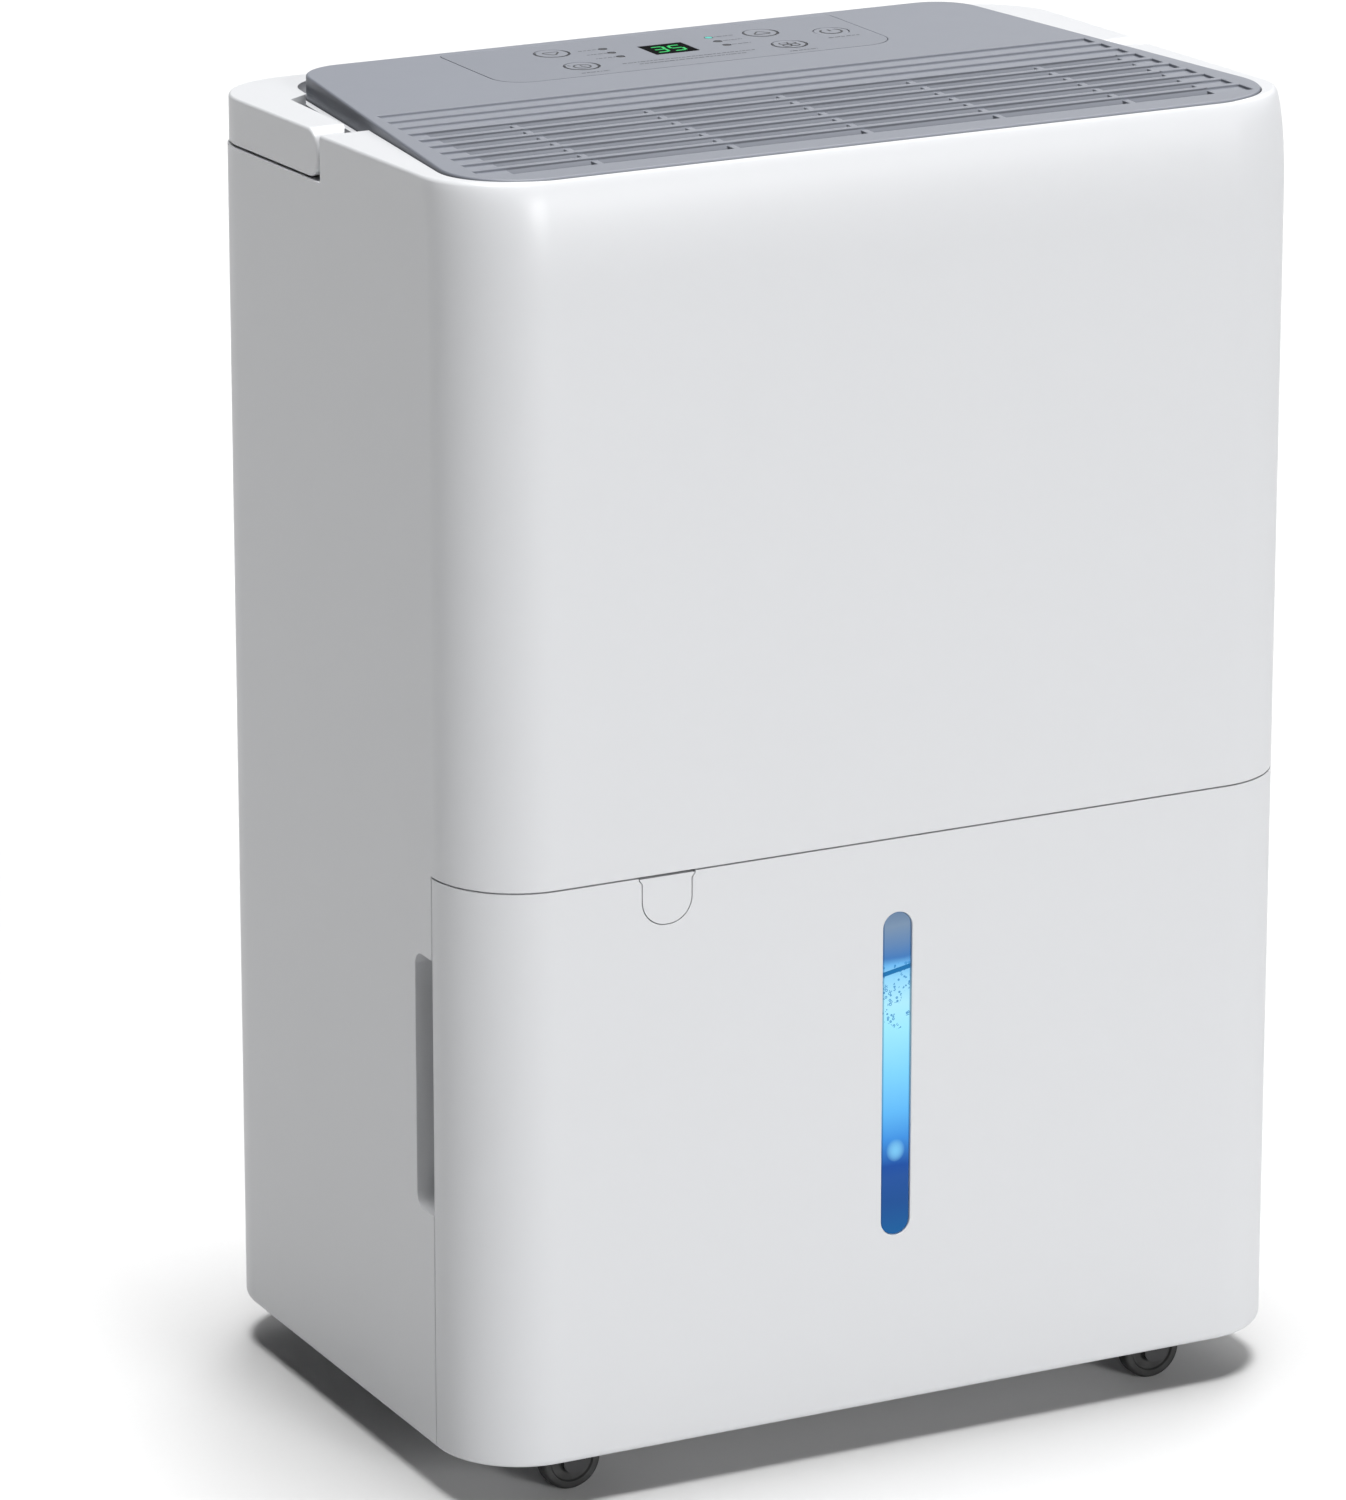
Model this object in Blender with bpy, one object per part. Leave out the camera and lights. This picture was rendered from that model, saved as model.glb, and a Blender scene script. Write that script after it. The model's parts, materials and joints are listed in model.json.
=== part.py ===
"""A household dehumidifier on casters: cabinet, bucket, louvred top, carry handle and the machine inside.

Frame: +Z up, origin on the floor below the middle of the cabinet, front towards -Y.
Lengths below are millimetres, and each mesh is scaled to metres as it is made.
"""

import math

import bmesh
import bpy
from mathutils import Matrix, Vector

MM = 0.001

# Cabinet
WIDTH = 386.0
DEPTH = 261.0
CORNER = 37.5
WALL = 2.8
BASE_Z = 19.3
SEAM_Z = BASE_Z + 248.0
SEAM_GAP = 0.6
SIDE_SEAM_Y = -91.3
CORNER_STEPS = 7

# The deck round the top panel rises a little towards the front, then rolls over into the front face.
DECK_Y = 8.0
DECK_Z = 552.3
DECK_SLOPE = -0.038
ROLL_HEIGHT = 38.0
ROLL_DEPTH = 9.5
ROLL_STEPS = 5
DECK_THICK = 3.0

# Top panel: wider at the front than at the back
PANEL_FRONT = -121.3
PANEL_REAR = 115.2
PANEL_HALF_FRONT = 188.8
PANEL_HALF_REAR = 155.3
PANEL_R_FRONT = 32.0
PANEL_R_REAR = 21.0
PANEL_TOP_REAR = 555.1
PANEL_TOP_FRONT = 557.7
PANEL_THICK = 3.2
PANEL_SKIRT = 2.4
LOUVRE_DEPTH = 9.0
LOUVRE_BED_REAR = -15.0
PANEL_GAP = 0.5

# Full-width grooves across the top panel; the louvre openings are in the floors of the front seven
ROW_PITCH = 12.3
PLAIN_ROWS = 3
OPEN_ROWS = 7
FIRST_OPEN_Y = -22.0
GROOVE_WIDTH = 9.3
LAST_GROOVE_WIDTH = 11.6
GROOVE_DEPTH = 1.2
GROOVE_END = 10.0
BAY_PITCH = 60.5
BAR = 3.0
OPENING_HALF_SPAN = 161.0

# Controls
OVERLAY_HALF = 92.0
OVERLAY_FRONT = 45.0
OVERLAY_REAR = 110.0
OVERLAY_THICK = 0.5
BUTTON_R = 7.6
BUTTONS = {
    "down_button": (-48.0, 92.0),
    "timer_button": (-48.0, 63.5),
    "up_button": (49.0, 89.0),
    "mode_button": (49.0, 62.5),
    "power_button": (77.0, 78.0),
}
LIGHT_X = 25.0
LIGHT_ROWS = (73.5, 82.0, 90.5)
LIGHT_R = 1.7
DISPLAY_HALF = (10.0, 9.2)
DISPLAY_Y = 78.6
BOARD_Z = 541.5

# Carry handle
PIVOT_Y = 22.0
PIVOT_Z = 542.85
ARM_HALF = 10.05
HANDLE_SLOPE = -0.036
HANDLE_OUT = 0.7
ARM_INNER = 176.6
ARM_INNER_Y = 24.0
ARM_INNER_SLOPE = -0.0558
ARM_NOSE = (181.0, 11.0)
BAR_INNER_Y = 118.8
BAR_INNER_R = 24.0
NOTCH_Y = 8.5
NOTCH_GAP = 0.7
LEDGE_DROP = 3.5
PIN_R = 3.0
PIN_HOLE_R = 3.25

# Bucket bay
BUCKET_HALF = 165.0
BUCKET_FRONT = -122.0
BUCKET_REAR = 6.0
BUCKET_FLOOR = BASE_Z + 34.6
BUCKET_TOP = 249.0
BUCKET_WALL = 2.2
WINDOW_HALF = 6.8
WINDOW_LOW = BASE_Z + 74.4
WINDOW_HIGH = BASE_Z + 215.7
FLOAT_PIVOT = (-110.0, -20.0, 238.0)
TAB_X = -106.0
TAB_HALF = 11.1
TAB_LOW = BASE_Z + 226.6
GRIP_LOW = BASE_Z + 102.0
GRIP_HIGH = BASE_Z + 212.0
GRIP_REAR = -75.3
GRIP_DEPTH = 12.0

# Rear
REAR_COVER_HALF = 150.0
REAR_COVER_LOW = 56.0
REAR_COVER_HIGH = 514.0
GRILLE_HALF = 137.0
GRILLE_LOW = 286.0
GRILLE_HIGH = 504.0
DRAIN = (-120.0, 262.0)
INLET = (120.0, 84.0)

# Machine compartment behind and above the bucket
SHELF_TOP = SEAM_Z + 4.2
SHELF_REAR = 116.0
TRAY_LOW = SHELF_TOP + 0.3
COIL_TOP = 500.0
DRIP = (0.0, -30.0)
DISCHARGE_X = 163.0

# Fan
FAN_CENTRE = (0.0, 402.0)
FAN_R = 84.0
FAN_FRONT = -108.0
FAN_REAR = -60.0
BLADES = 20

# Casters
CASTER_X = 138.0
CASTER_Y = 109.6
WHEEL_R = 13.2
WHEEL_HALF = 4.0
TRAIL = 3.5
POCKET_R = 18.6
POCKET_TOP = 35.0


def clear_scene():
    for old in list(bpy.data.objects):
        bpy.data.objects.remove(old)


def material(name, colour, roughness, metallic=0.0):
    """The Principled material of this name, made once."""
    found = bpy.data.materials.get(name)
    if found:
        return found
    made = bpy.data.materials.new(name)
    made.use_nodes = True
    shader = made.node_tree.nodes["Principled BSDF"]
    shader.inputs["Base Color"].default_value = (*colour, 1.0)
    shader.inputs["Roughness"].default_value = roughness
    shader.inputs["Metallic"].default_value = metallic
    return made


def white_plastic():
    return material("white_plastic", (0.80, 0.81, 0.83), 0.3)


def grey_plastic():
    return material("grey_plastic", (0.38, 0.40, 0.45), 0.45)


def dark_plastic():
    return material("dark_plastic", (0.02, 0.02, 0.022), 0.5)


def clear_plastic():
    return material("clear_plastic", (0.30, 0.55, 0.75), 0.1)


def bucket_plastic():
    return material("bucket_plastic", (0.70, 0.72, 0.74), 0.35)


def filter_fabric():
    return material("filter_fabric", (0.10, 0.11, 0.12), 0.9)


def sheet_aluminium():
    return material("sheet_aluminium", (0.78, 0.79, 0.80), 0.35, 1.0)


def pipe_copper():
    return material("pipe_copper", (0.72, 0.38, 0.24), 0.3, 1.0)


def black_enamel():
    return material("black_enamel", (0.015, 0.015, 0.015), 0.35)


def zinc_steel():
    return material("zinc_steel", (0.60, 0.61, 0.62), 0.35, 1.0)


def soft_rubber():
    return material("soft_rubber", (0.03, 0.03, 0.03), 0.8)


def board_green():
    return material("board_green", (0.03, 0.16, 0.06), 0.5)


def rounded(corners, radii, steps=CORNER_STEPS):
    """Closed outline through the corners, each replaced by an arc that touches both of its sides."""
    outline = []
    for index, (corner, radius) in enumerate(zip(corners, radii)):
        here = Vector(corner)
        back = (Vector(corners[index - 1]) - here).normalized()
        ahead = (Vector(corners[(index + 1) % len(corners)]) - here).normalized()
        half = math.acos(max(-1.0, min(1.0, back.dot(ahead)))) / 2
        centre = here + (back + ahead).normalized() * (radius / math.sin(half))
        start = here + back * (radius / math.tan(half)) - centre
        first = math.atan2(start.y, start.x)
        end = here + ahead * (radius / math.tan(half)) - centre
        turn = (math.atan2(end.y, end.x) - first + math.pi) % (2 * math.pi) - math.pi
        for step in range(steps + 1):
            angle = first + turn * step / steps
            outline.append((centre.x + radius * math.cos(angle), centre.y + radius * math.sin(angle)))
    return outline


def rectangle(x_low, x_high, y_low, y_high, radius=0.0, steps=4):
    corners = [(x_high, y_low), (x_high, y_high), (x_low, y_high), (x_low, y_low)]
    return rounded(corners, [radius] * 4, steps) if radius else corners


def circle(x, y, radius, steps=24):
    angles = [2 * math.pi * step / steps for step in range(steps)]
    return [(x + radius * math.cos(angle), y + radius * math.sin(angle)) for angle in angles]


def finish(bm, name, finish_material, smooth=True):
    """Make an object of the mesh, with its faces pointing out."""
    bmesh.ops.recalc_face_normals(bm, faces=bm.faces)
    mesh = bpy.data.meshes.new(name)
    bm.to_mesh(mesh)
    bm.free()
    made = bpy.data.objects.new(name, mesh)
    bpy.context.scene.collection.objects.link(made)
    if finish_material:
        mesh.materials.append(finish_material)
    if smooth:
        mesh.shade_smooth()
        mesh.set_sharp_from_angle(angle=math.radians(35))
    return made


def add_loft(bm, rings):
    """Join rings of equal length, in order, and close both ends."""
    levels = [[bm.verts.new(Vector(point) * MM) for point in ring] for ring in rings]
    count = len(levels[0])
    for low, high in zip(levels, levels[1:]):
        for index in range(count):
            after = (index + 1) % count
            bm.faces.new((low[index], low[after], high[after], high[index]))
    bm.faces.new(levels[0][::-1])
    bm.faces.new(levels[-1])


def loft(name, rings, finish_material=None):
    bm = bmesh.new()
    add_loft(bm, rings)
    return finish(bm, name, finish_material)


def level(outline, height):
    """The outline at a height, which is a number or a function of y."""
    if callable(height):
        return [(x, y, height(y)) for x, y in outline]
    return [(x, y, height) for x, y in outline]


def prism(name, outline, low, high, finish_material=None):
    return loft(name, [level(outline, low), level(outline, high)], finish_material)


def prism_y(name, outline, y_low, y_high, finish_material=None):
    """An outline in X and Z, carried along Y."""
    rings = [[(x, y, z) for x, z in outline] for y in (y_low, y_high)]
    return loft(name, rings, finish_material)


def prism_x(name, outline, x_low, x_high, finish_material=None):
    """An outline in Y and Z, carried along X."""
    rings = [[(x, y, z) for y, z in outline] for x in (x_low, x_high)]
    return loft(name, rings, finish_material)


def block(name, low, high, finish_material=None):
    return prism(name, rectangle(low[0], high[0], low[1], high[1]), low[2], high[2], finish_material)


def blocks(name, boxes):
    """Several separate boxes in one mesh, for use as a cutter."""
    bm = bmesh.new()
    for low, high in boxes:
        outline = rectangle(low[0], high[0], low[1], high[1])
        add_loft(bm, [level(outline, low[2]), level(outline, high[2])])
    return finish(bm, name, None, smooth=False)


def turned(name, profile, centre, axis="Z", finish_material=None, steps=24):
    """A solid of revolution: each profile point is (radius, distance along the axis)."""
    rings = []
    for radius, along in profile:
        ring = circle(0.0, 0.0, radius, steps)
        if axis == "Z":
            rings.append([(centre[0] + a, centre[1] + b, centre[2] + along) for a, b in ring])
        elif axis == "Y":
            rings.append([(centre[0] + a, centre[1] + along, centre[2] + b) for a, b in ring])
        else:
            rings.append([(centre[0] + along, centre[1] + a, centre[2] + b) for a, b in ring])
    return loft(name, rings, finish_material)


def boolean(target, other, operation="DIFFERENCE"):
    """Apply another shape to the target, and keep that shape hidden as a guide."""
    modifier = target.modifiers.new(other.name, "BOOLEAN")
    modifier.operation = operation
    modifier.solver = "EXACT"
    modifier.object = other
    other.hide_render = True
    other.display_type = "WIRE"
    return target


def cut(target, *others):
    for other in others:
        boolean(target, other)
    return target


def join(target, *others):
    for other in others:
        boolean(target, other, "UNION")
    return target


def keep(target, other):
    return boolean(target, other, "INTERSECT")


def pivot_at(piece, point):
    """Move the piece's origin to a point on its joint axis, leaving its shape in place."""
    origin = Vector(point) * MM
    piece.data.transform(Matrix.Translation(-origin))
    piece.location = origin
    return piece


def attach(piece, parent):
    """Parent a piece, keeping it where it is."""
    piece.parent = parent
    piece.matrix_parent_inverse = Matrix.Translation(-parent.location)
    return piece


def tube(name, points, radius, finish_material):
    """A round pipe along a smooth curve through the points."""
    path = smooth_path([Vector(point) for point in points], 5)
    curve = bpy.data.curves.new(name, "CURVE")
    curve.dimensions = "3D"
    curve.bevel_depth = radius * MM
    curve.bevel_resolution = 2
    curve.use_fill_caps = True
    spline = curve.splines.new("POLY")
    spline.points.add(len(path) - 1)
    for target, point in zip(spline.points, path):
        target.co = (*(point * MM), 1.0)
    made = bpy.data.objects.new(name, curve)
    bpy.context.scene.collection.objects.link(made)
    curve.materials.append(finish_material)
    return made


def smooth_path(points, steps):
    """Catmull-Rom curve through the points, with steps points in each stretch."""
    padded = [points[0] * 2 - points[1], *points, points[-1] * 2 - points[-2]]
    path = []
    for a, b, c, d in zip(padded, padded[1:], padded[2:], padded[3:]):
        for step in range(steps):
            t = step / steps
            path.append(
                (b * 2 + (c - a) * t + (a * 2 - b * 5 + c * 4 - d) * t**2 + (b * 3 - a - c * 3 + d) * t**3) / 2
            )
    path.append(points[-1])
    return path


def deck_z(y):
    return DECK_Z + DECK_SLOPE * (y - DECK_Y)


def panel_z(y):
    share = (y - PANEL_FRONT) / (PANEL_REAR - PANEL_FRONT)
    return PANEL_TOP_FRONT + (PANEL_TOP_REAR - PANEL_TOP_FRONT) * share


def handle_floor_z(y):
    return PIVOT_Z - ARM_HALF - NOTCH_GAP + HANDLE_SLOPE * (y - PIVOT_Y)


def cabinet_ring(inset, z, front_inset=0.0, tilt=0.0):
    """Rounded rectangle of the cabinet's plan, tilted with the deck by the share tilt."""
    half = WIDTH / 2 - inset
    front = -DEPTH / 2 + inset + front_inset
    rear = DEPTH / 2 - inset
    radius = CORNER - inset
    outline = rounded([(half, front), (half, rear), (-half, rear), (-half, front)], [radius] * 4)
    return [(x, y, z + tilt * DECK_SLOPE * (y - DECK_Y)) for x, y in outline]


def cabinet_rings(inset, drop):
    """Outer form of the cabinet, moved in by inset and down by drop at the top."""
    edge = 3.0
    rings = [cabinet_ring(inset + edge * 0.5, BASE_Z), cabinet_ring(inset + edge * 0.15, BASE_Z + 1.2)]
    rings.append(cabinet_ring(inset, BASE_Z + edge))
    rings.append(cabinet_ring(inset, SEAM_Z))
    for step in range(ROLL_STEPS + 1):
        angle = math.pi / 2 * step / (ROLL_STEPS + 0.35)
        rise = math.sin(angle)
        z = DECK_Z - drop - ROLL_HEIGHT * (1 - rise)
        rings.append(cabinet_ring(inset, z, ROLL_DEPTH * (1 - math.cos(angle)), rise))
    rings.append(cabinet_ring(inset + 1.3, DECK_Z - drop, ROLL_DEPTH - 0.6, 1.0))
    return rings


def panel_outline(grow, steps=CORNER_STEPS):
    """Plan of the top panel, moved out by grow."""
    front = PANEL_FRONT - grow
    rear = PANEL_REAR + grow
    corners = [
        (PANEL_HALF_FRONT + grow, front),
        (PANEL_HALF_REAR + grow, rear),
        (-PANEL_HALF_REAR - grow, rear),
        (-PANEL_HALF_FRONT - grow, front),
    ]
    radii = [PANEL_R_FRONT + grow, PANEL_R_REAR + grow, PANEL_R_REAR + grow, PANEL_R_FRONT + grow]
    return rounded(corners, radii, steps)


def handle_bay(name, grow, front, floor_drop, outline_grow, core_top):
    """The space round the back of the top that the carry handle lies in, with the panel's plan left standing."""
    reach = WIDTH / 2 + 10
    region = rectangle(-reach, reach, front, DEPTH / 2 + 10)
    bay = prism(name, region, lambda y: handle_floor_z(y) - floor_drop, 620.0)
    core = prism(name + "_core", panel_outline(outline_grow), 480.0, core_top)
    return cut(bay, core)


def grip_pocket(name, side, grow):
    """Finger pocket in the cabinet's side, open to the outside and to the bucket."""
    reach = WIDTH / 2 + 8
    inner = WIDTH / 2 - GRIP_DEPTH - grow
    corners = [
        (SIDE_SEAM_Y - 6, GRIP_LOW - grow),
        (GRIP_REAR + grow, GRIP_LOW - grow),
        (GRIP_REAR + grow, GRIP_HIGH + grow),
        (SIDE_SEAM_Y - 6, GRIP_HIGH + grow),
    ]
    outline = rounded(corners, [1.0, 6.0 + grow, 6.0 + grow, 1.0], 4)
    low, high = sorted((side * inner, side * reach))
    return prism_x(name, outline, low, high)


def make_main_casing():
    casing = loft("main_casing", cabinet_rings(0.0, 0.0), white_plastic())
    cavity = loft("casing_cavity", cabinet_rings(WALL, DECK_THICK))
    for vertex in cavity.data.vertices:
        if vertex.co.z < (BASE_Z + 2) * MM:
            vertex.co.z -= 12 * MM
    cut(cavity, handle_bay("handle_bay_wall", 0.0, NOTCH_Y - 2.8, 2.8, PANEL_GAP, 640.0))
    for side, label in ((-1, "left"), (1, "right")):
        cut(cavity, grip_pocket(f"grip_wall_{label}", side, 2.5))
    cut(casing, cavity)
    ledge = lambda y: deck_z(y) - LEDGE_DROP
    cut(casing, handle_bay("handle_bay", 0.0, NOTCH_Y, 0.0, PANEL_GAP + 2.5, ledge))
    cut(casing, prism("panel_opening", panel_outline(PANEL_GAP), 500.0, 620.0))
    reach = WIDTH / 2 + 10
    cut(casing, block("bucket_opening", (-reach, -DEPTH, -5), (reach, SIDE_SEAM_Y, SEAM_Z)))
    rear = rectangle(-REAR_COVER_HALF, REAR_COVER_HALF, REAR_COVER_LOW, REAR_COVER_HIGH, 8.0)
    cut(casing, prism_y("rear_opening", rear, DEPTH / 2 - 12, DEPTH / 2 + 12))
    for side, label in ((-1, "left"), (1, "right")):
        cut(casing, grip_pocket(f"grip_{label}", side, 0.0))
        ends = sorted((side * 160.0, side * 188.6))
        hole = circle(PIVOT_Y, PIVOT_Z, PIN_HOLE_R, 16)
        cut(casing, prism_x(f"pin_hole_{label}", hole, *ends))
    return casing


def make_base_pan():
    """Floor tray with a boss over each caster pocket."""
    inset = WALL + 0.4
    top = BASE_Z + 34.0
    rings = [cabinet_ring(inset + 1.5, BASE_Z), cabinet_ring(inset, BASE_Z + 1.5), cabinet_ring(inset, top)]
    pan = loft("base_pan", rings, white_plastic())
    hollow = loft("base_hollow", [cabinet_ring(inset + 3, BASE_Z + 3), cabinet_ring(inset + 3, top + 5)])
    for x, y, label in caster_places():
        cut(hollow, turned(f"boss_{label}", [(POCKET_R + 2.6, 0), (POCKET_R + 2.6, 40)], (x, y, BASE_Z - 5)))
        stem = [(4.4, 0), (4.4, 12)]
        pocket = [(POCKET_R, 0), (POCKET_R, POCKET_TOP - BASE_Z + 5)]
        cut(pan, turned(f"pocket_{label}", pocket, (x, y, BASE_Z - 5)))
        cut(pan, turned(f"stem_hole_{label}", stem, (x, y, POCKET_TOP - 2), steps=16))
    cut(pan, hollow)
    return pan


def caster_places():
    places = []
    for y, end in ((-CASTER_Y, "front"), (CASTER_Y, "rear")):
        for x, side in ((-CASTER_X, "left"), (CASTER_X, "right")):
            places.append((x, y, f"{end}_{side}"))
    return places


def make_caster(x, y, label):
    """Swivel fork on its stem, with a wheel between its cheeks."""
    axle_x = x - TRAIL
    head = WHEEL_R * 2 + 1.4
    fork = turned(f"caster_fork_{label}", [(11.5, head), (11.5, head + 3), (8, head + 4)], (x, y, 0),
                  finish_material=dark_plastic())
    join(fork, turned(f"fork_stem_{label}", [(4.0, head + 2), (4.0, head + 16)], (x, y, 0), steps=16))
    for side in (-1, 1):
        ends = sorted((y + side * (WHEEL_HALF + 0.6), y + side * (WHEEL_HALF + 2.4)))
        corners = [(axle_x - 5, WHEEL_R - 5), (axle_x + 5, WHEEL_R - 5), (x + 8, head + 1), (x - 8, head + 1)]
        cheek = prism_y(f"cheek_{label}_{side}", rounded(corners, [4.6, 4.6, 1, 1], 5), *ends)
        join(fork, cheek)
    axle = [(1.6, -WHEEL_HALF - 1.5), (1.6, WHEEL_HALF + 1.5)]
    join(fork, turned(f"fork_axle_{label}", axle, (axle_x, y, WHEEL_R), "Y", steps=12))
    pivot_at(fork, (x, y, 0))
    edge = 1.0
    tread = [
        (WHEEL_R - edge, -WHEEL_HALF),
        (WHEEL_R, -WHEEL_HALF + edge),
        (WHEEL_R, WHEEL_HALF - edge),
        (WHEEL_R - edge, WHEEL_HALF),
    ]
    wheel = turned(f"caster_wheel_{label}", tread, (axle_x, y, WHEEL_R), "Y", soft_rubber(), 32)
    bore = [(1.85, -WHEEL_HALF - 1), (1.85, WHEEL_HALF + 1)]
    cut(wheel, turned(f"wheel_bore_{label}", bore, (axle_x, y, WHEEL_R), "Y", steps=12))
    pivot_at(wheel, (axle_x, y, WHEEL_R))
    attach(wheel, fork)


def make_rear_cover():
    inset = 0.4
    outline = rectangle(-REAR_COVER_HALF + inset, REAR_COVER_HALF - inset, REAR_COVER_LOW + inset,
                        REAR_COVER_HIGH - inset, 8.0 - inset)
    cover = prism_y("rear_cover", outline, DEPTH / 2 - 3, DEPTH / 2, white_plastic())
    opening = rectangle(-GRILLE_HALF, GRILLE_HALF, GRILLE_LOW, GRILLE_HIGH, 5.0)
    cut(cover, prism_y("grille_opening", opening, DEPTH / 2 - 10, DEPTH / 2 + 5))
    for centre, label in ((DRAIN, "drain"), (INLET, "inlet")):
        well = turned(f"{label}_well", [(17.5, 0), (17.5, 14)], (centre[0], DEPTH / 2 - 14, centre[1]), "Y")
        join(cover, well)
        hollow = turned(f"{label}_hollow", [(15.2, 0), (15.2, 20)], (centre[0], DEPTH / 2 - 11.8, centre[1]), "Y")
        cut(cover, hollow)
        bore = turned(f"{label}_bore", [(6.4, 0), (6.4, 30)], (centre[0], DEPTH / 2 - 20, centre[1]), "Y", steps=16)
        cut(cover, bore)
    for x, z, label in screw_places():
        sink = [(4.2, -1.9), (4.2, 3.0)]
        cut(cover, turned(f"sink_{label}", sink, (x, DEPTH / 2, z), "Y", steps=16))
        cut(cover, turned(f"screw_bore_{label}", [(2.1, -8), (2.1, 3)], (x, DEPTH / 2, z), "Y", steps=12))
    return cover


def screw_places():
    reach = REAR_COVER_HALF - 6.0
    rows = ((REAR_COVER_LOW + 7, "low"), (REAR_COVER_HIGH - 6, "high"))
    return [(side * reach, z, f"{row}_{name}") for z, row in rows for side, name in ((-1, "left"), (1, "right"))]


def make_rear_screw(x, z, label):
    profile = [(1.6, -9.0), (1.6, -1.5), (3.8, -1.5), (3.8, -0.7), (2.6, -0.2)]
    return turned(f"rear_screw_{label}", profile, (x, DEPTH / 2, z), "Y", zinc_steel(), 16)


def make_intake_grille():
    """Pull-off rear grille: rows of slots in a flat frame, with the filter held behind it."""
    face = DEPTH / 2 - 0.4
    inset = 0.5
    outline = rectangle(-GRILLE_HALF + inset, GRILLE_HALF - inset, GRILLE_LOW + inset, GRILLE_HIGH - inset, 4.5)
    grille = prism_y("intake_grille", outline, face - 3.4, face, white_plastic())
    slots = []
    rows = 15
    pitch = (GRILLE_HIGH - GRILLE_LOW - 22) / rows
    for row in range(rows):
        low = GRILLE_LOW + 11 + pitch * row + 2.2
        for x_low, x_high in ((-126, -2.5), (2.5, 126)):
            slots.append(((x_low, face - 6, low), (x_high, face + 4, low + pitch - 4.4)))
    cut(grille, blocks("grille_slots", slots))
    mesh_low = (-GRILLE_HALF + 4, face - 7.6, GRILLE_LOW + 4)
    mesh_high = (GRILLE_HALF - 4, face - 3.8, GRILLE_HIGH - 4)
    filter_mesh = block("air_filter", mesh_low, mesh_high, filter_fabric())
    window_low = (mesh_low[0] + 6, mesh_low[1] - 2, mesh_low[2] + 6)
    window_high = (mesh_high[0] - 6, mesh_low[1] + 2.4, mesh_high[2] - 6)
    cut(filter_mesh, block("filter_dish", window_low, window_high))
    attach(filter_mesh, grille)


def make_drain():
    """Hose outlet in its well, closed by a cap that pulls off."""
    centre = (DRAIN[0], DEPTH / 2, DRAIN[1])
    spout = [(6.0, -40.0), (6.0, -13.9), (6.0, -6.0)]
    outlet = turned("drain_outlet", spout, centre, "Y", white_plastic(), 20)
    cut(outlet, turned("drain_bore", [(4.4, -37.0), (4.4, 0.0)], centre, "Y", steps=16))
    cap = turned("drain_cap", [(9.5, -11.0), (9.5, -2.0), (8.5, -1.0)], centre, "Y", grey_plastic(), 20)
    cut(cap, turned("cap_hollow", [(6.4, -14.0), (6.4, -4.5)], centre, "Y", steps=20))
    return pivot_at(cap, centre)


def make_cord_inlet():
    """Gland where a mains lead enters; no lead is fitted."""
    centre = (INLET[0], DEPTH / 2, INLET[1])
    gland = turned("cord_inlet", [(6.0, -26), (6.0, -11.4), (10.5, -11.4), (10.5, -8.5), (7.5, -2.0)], centre, "Y",
                   dark_plastic(), 20)
    cut(gland, turned("gland_bore", [(3.6, -30), (3.6, 2)], centre, "Y", steps=16))


def make_top_panel():
    """Louvred panel: a plate with a skirt, slots in front and a control area behind."""
    skirt_low = lambda y: deck_z(y) - LEDGE_DROP - 1.7
    panel = prism("top_panel", panel_outline(0.0), skirt_low, panel_z, grey_plastic())
    under = lambda y: panel_z(y) - PANEL_THICK
    hollow = prism("panel_underside", panel_outline(-PANEL_SKIRT), 520.0, under)
    bed_half = OPENING_HALF_SPAN + 2 * BAR
    bed_low = panel_z(PANEL_REAR) - LOUVRE_DEPTH
    cut(hollow, block("louvre_bed", (-bed_half, PANEL_FRONT - 10, bed_low), (bed_half, LOUVRE_BED_REAR, 600.0)))
    cut(panel, hollow)
    grooves = []
    openings = []
    edges = [-OPENING_HALF_SPAN, *[BAY_PITCH * index for index in range(-2, 3)], OPENING_HALF_SPAN]
    for row in range(-PLAIN_ROWS, OPEN_ROWS):
        y_high = FIRST_OPEN_Y - ROW_PITCH * row
        y_low = y_high - (GROOVE_WIDTH if row < OPEN_ROWS - 1 else LAST_GROOVE_WIDTH)
        half = panel_half(y_high) - GROOVE_END
        grooves.append(((-half, y_low, panel_z(y_high) - GROOVE_DEPTH), (half, y_high, 600.0)))
        if row < 0:
            continue
        for left, right in zip(edges, edges[1:]):
            openings.append(((left + BAR / 2, y_low, 530.0), (right - BAR / 2, y_high, 600.0)))
    cut(panel, blocks("grooves", grooves))
    cut(panel, blocks("louvre_openings", openings))
    cut(panel, prism("overlay_seat", overlay_outline(0.3), lambda y: panel_z(y) - OVERLAY_THICK - 0.3, 600.0))
    cut_controls(panel, "panel", 0.3)
    for side in (-1, 1):
        for y in (56.0, 101.0):
            post = [(3.0, BOARD_Z + 0.3), (3.0, panel_z(y) - 1.5)]
            join(panel, turned(f"board_post_{side}_{y:.0f}", post, (side * 85.0, y, 0.0), steps=12))


def panel_half(y):
    share = (y - PANEL_FRONT) / (PANEL_REAR - PANEL_FRONT)
    return PANEL_HALF_FRONT + (PANEL_HALF_REAR - PANEL_HALF_FRONT) * share


def overlay_outline(grow):
    corners = [
        (OVERLAY_HALF + grow, OVERLAY_FRONT - grow),
        (OVERLAY_HALF + grow, OVERLAY_REAR + grow),
        (-OVERLAY_HALF - grow, OVERLAY_REAR + grow),
        (-OVERLAY_HALF - grow, OVERLAY_FRONT - grow),
    ]
    return rounded(corners, [14.0 + grow, 3.0 + grow, 3.0 + grow, 14.0 + grow], 5)


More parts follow.
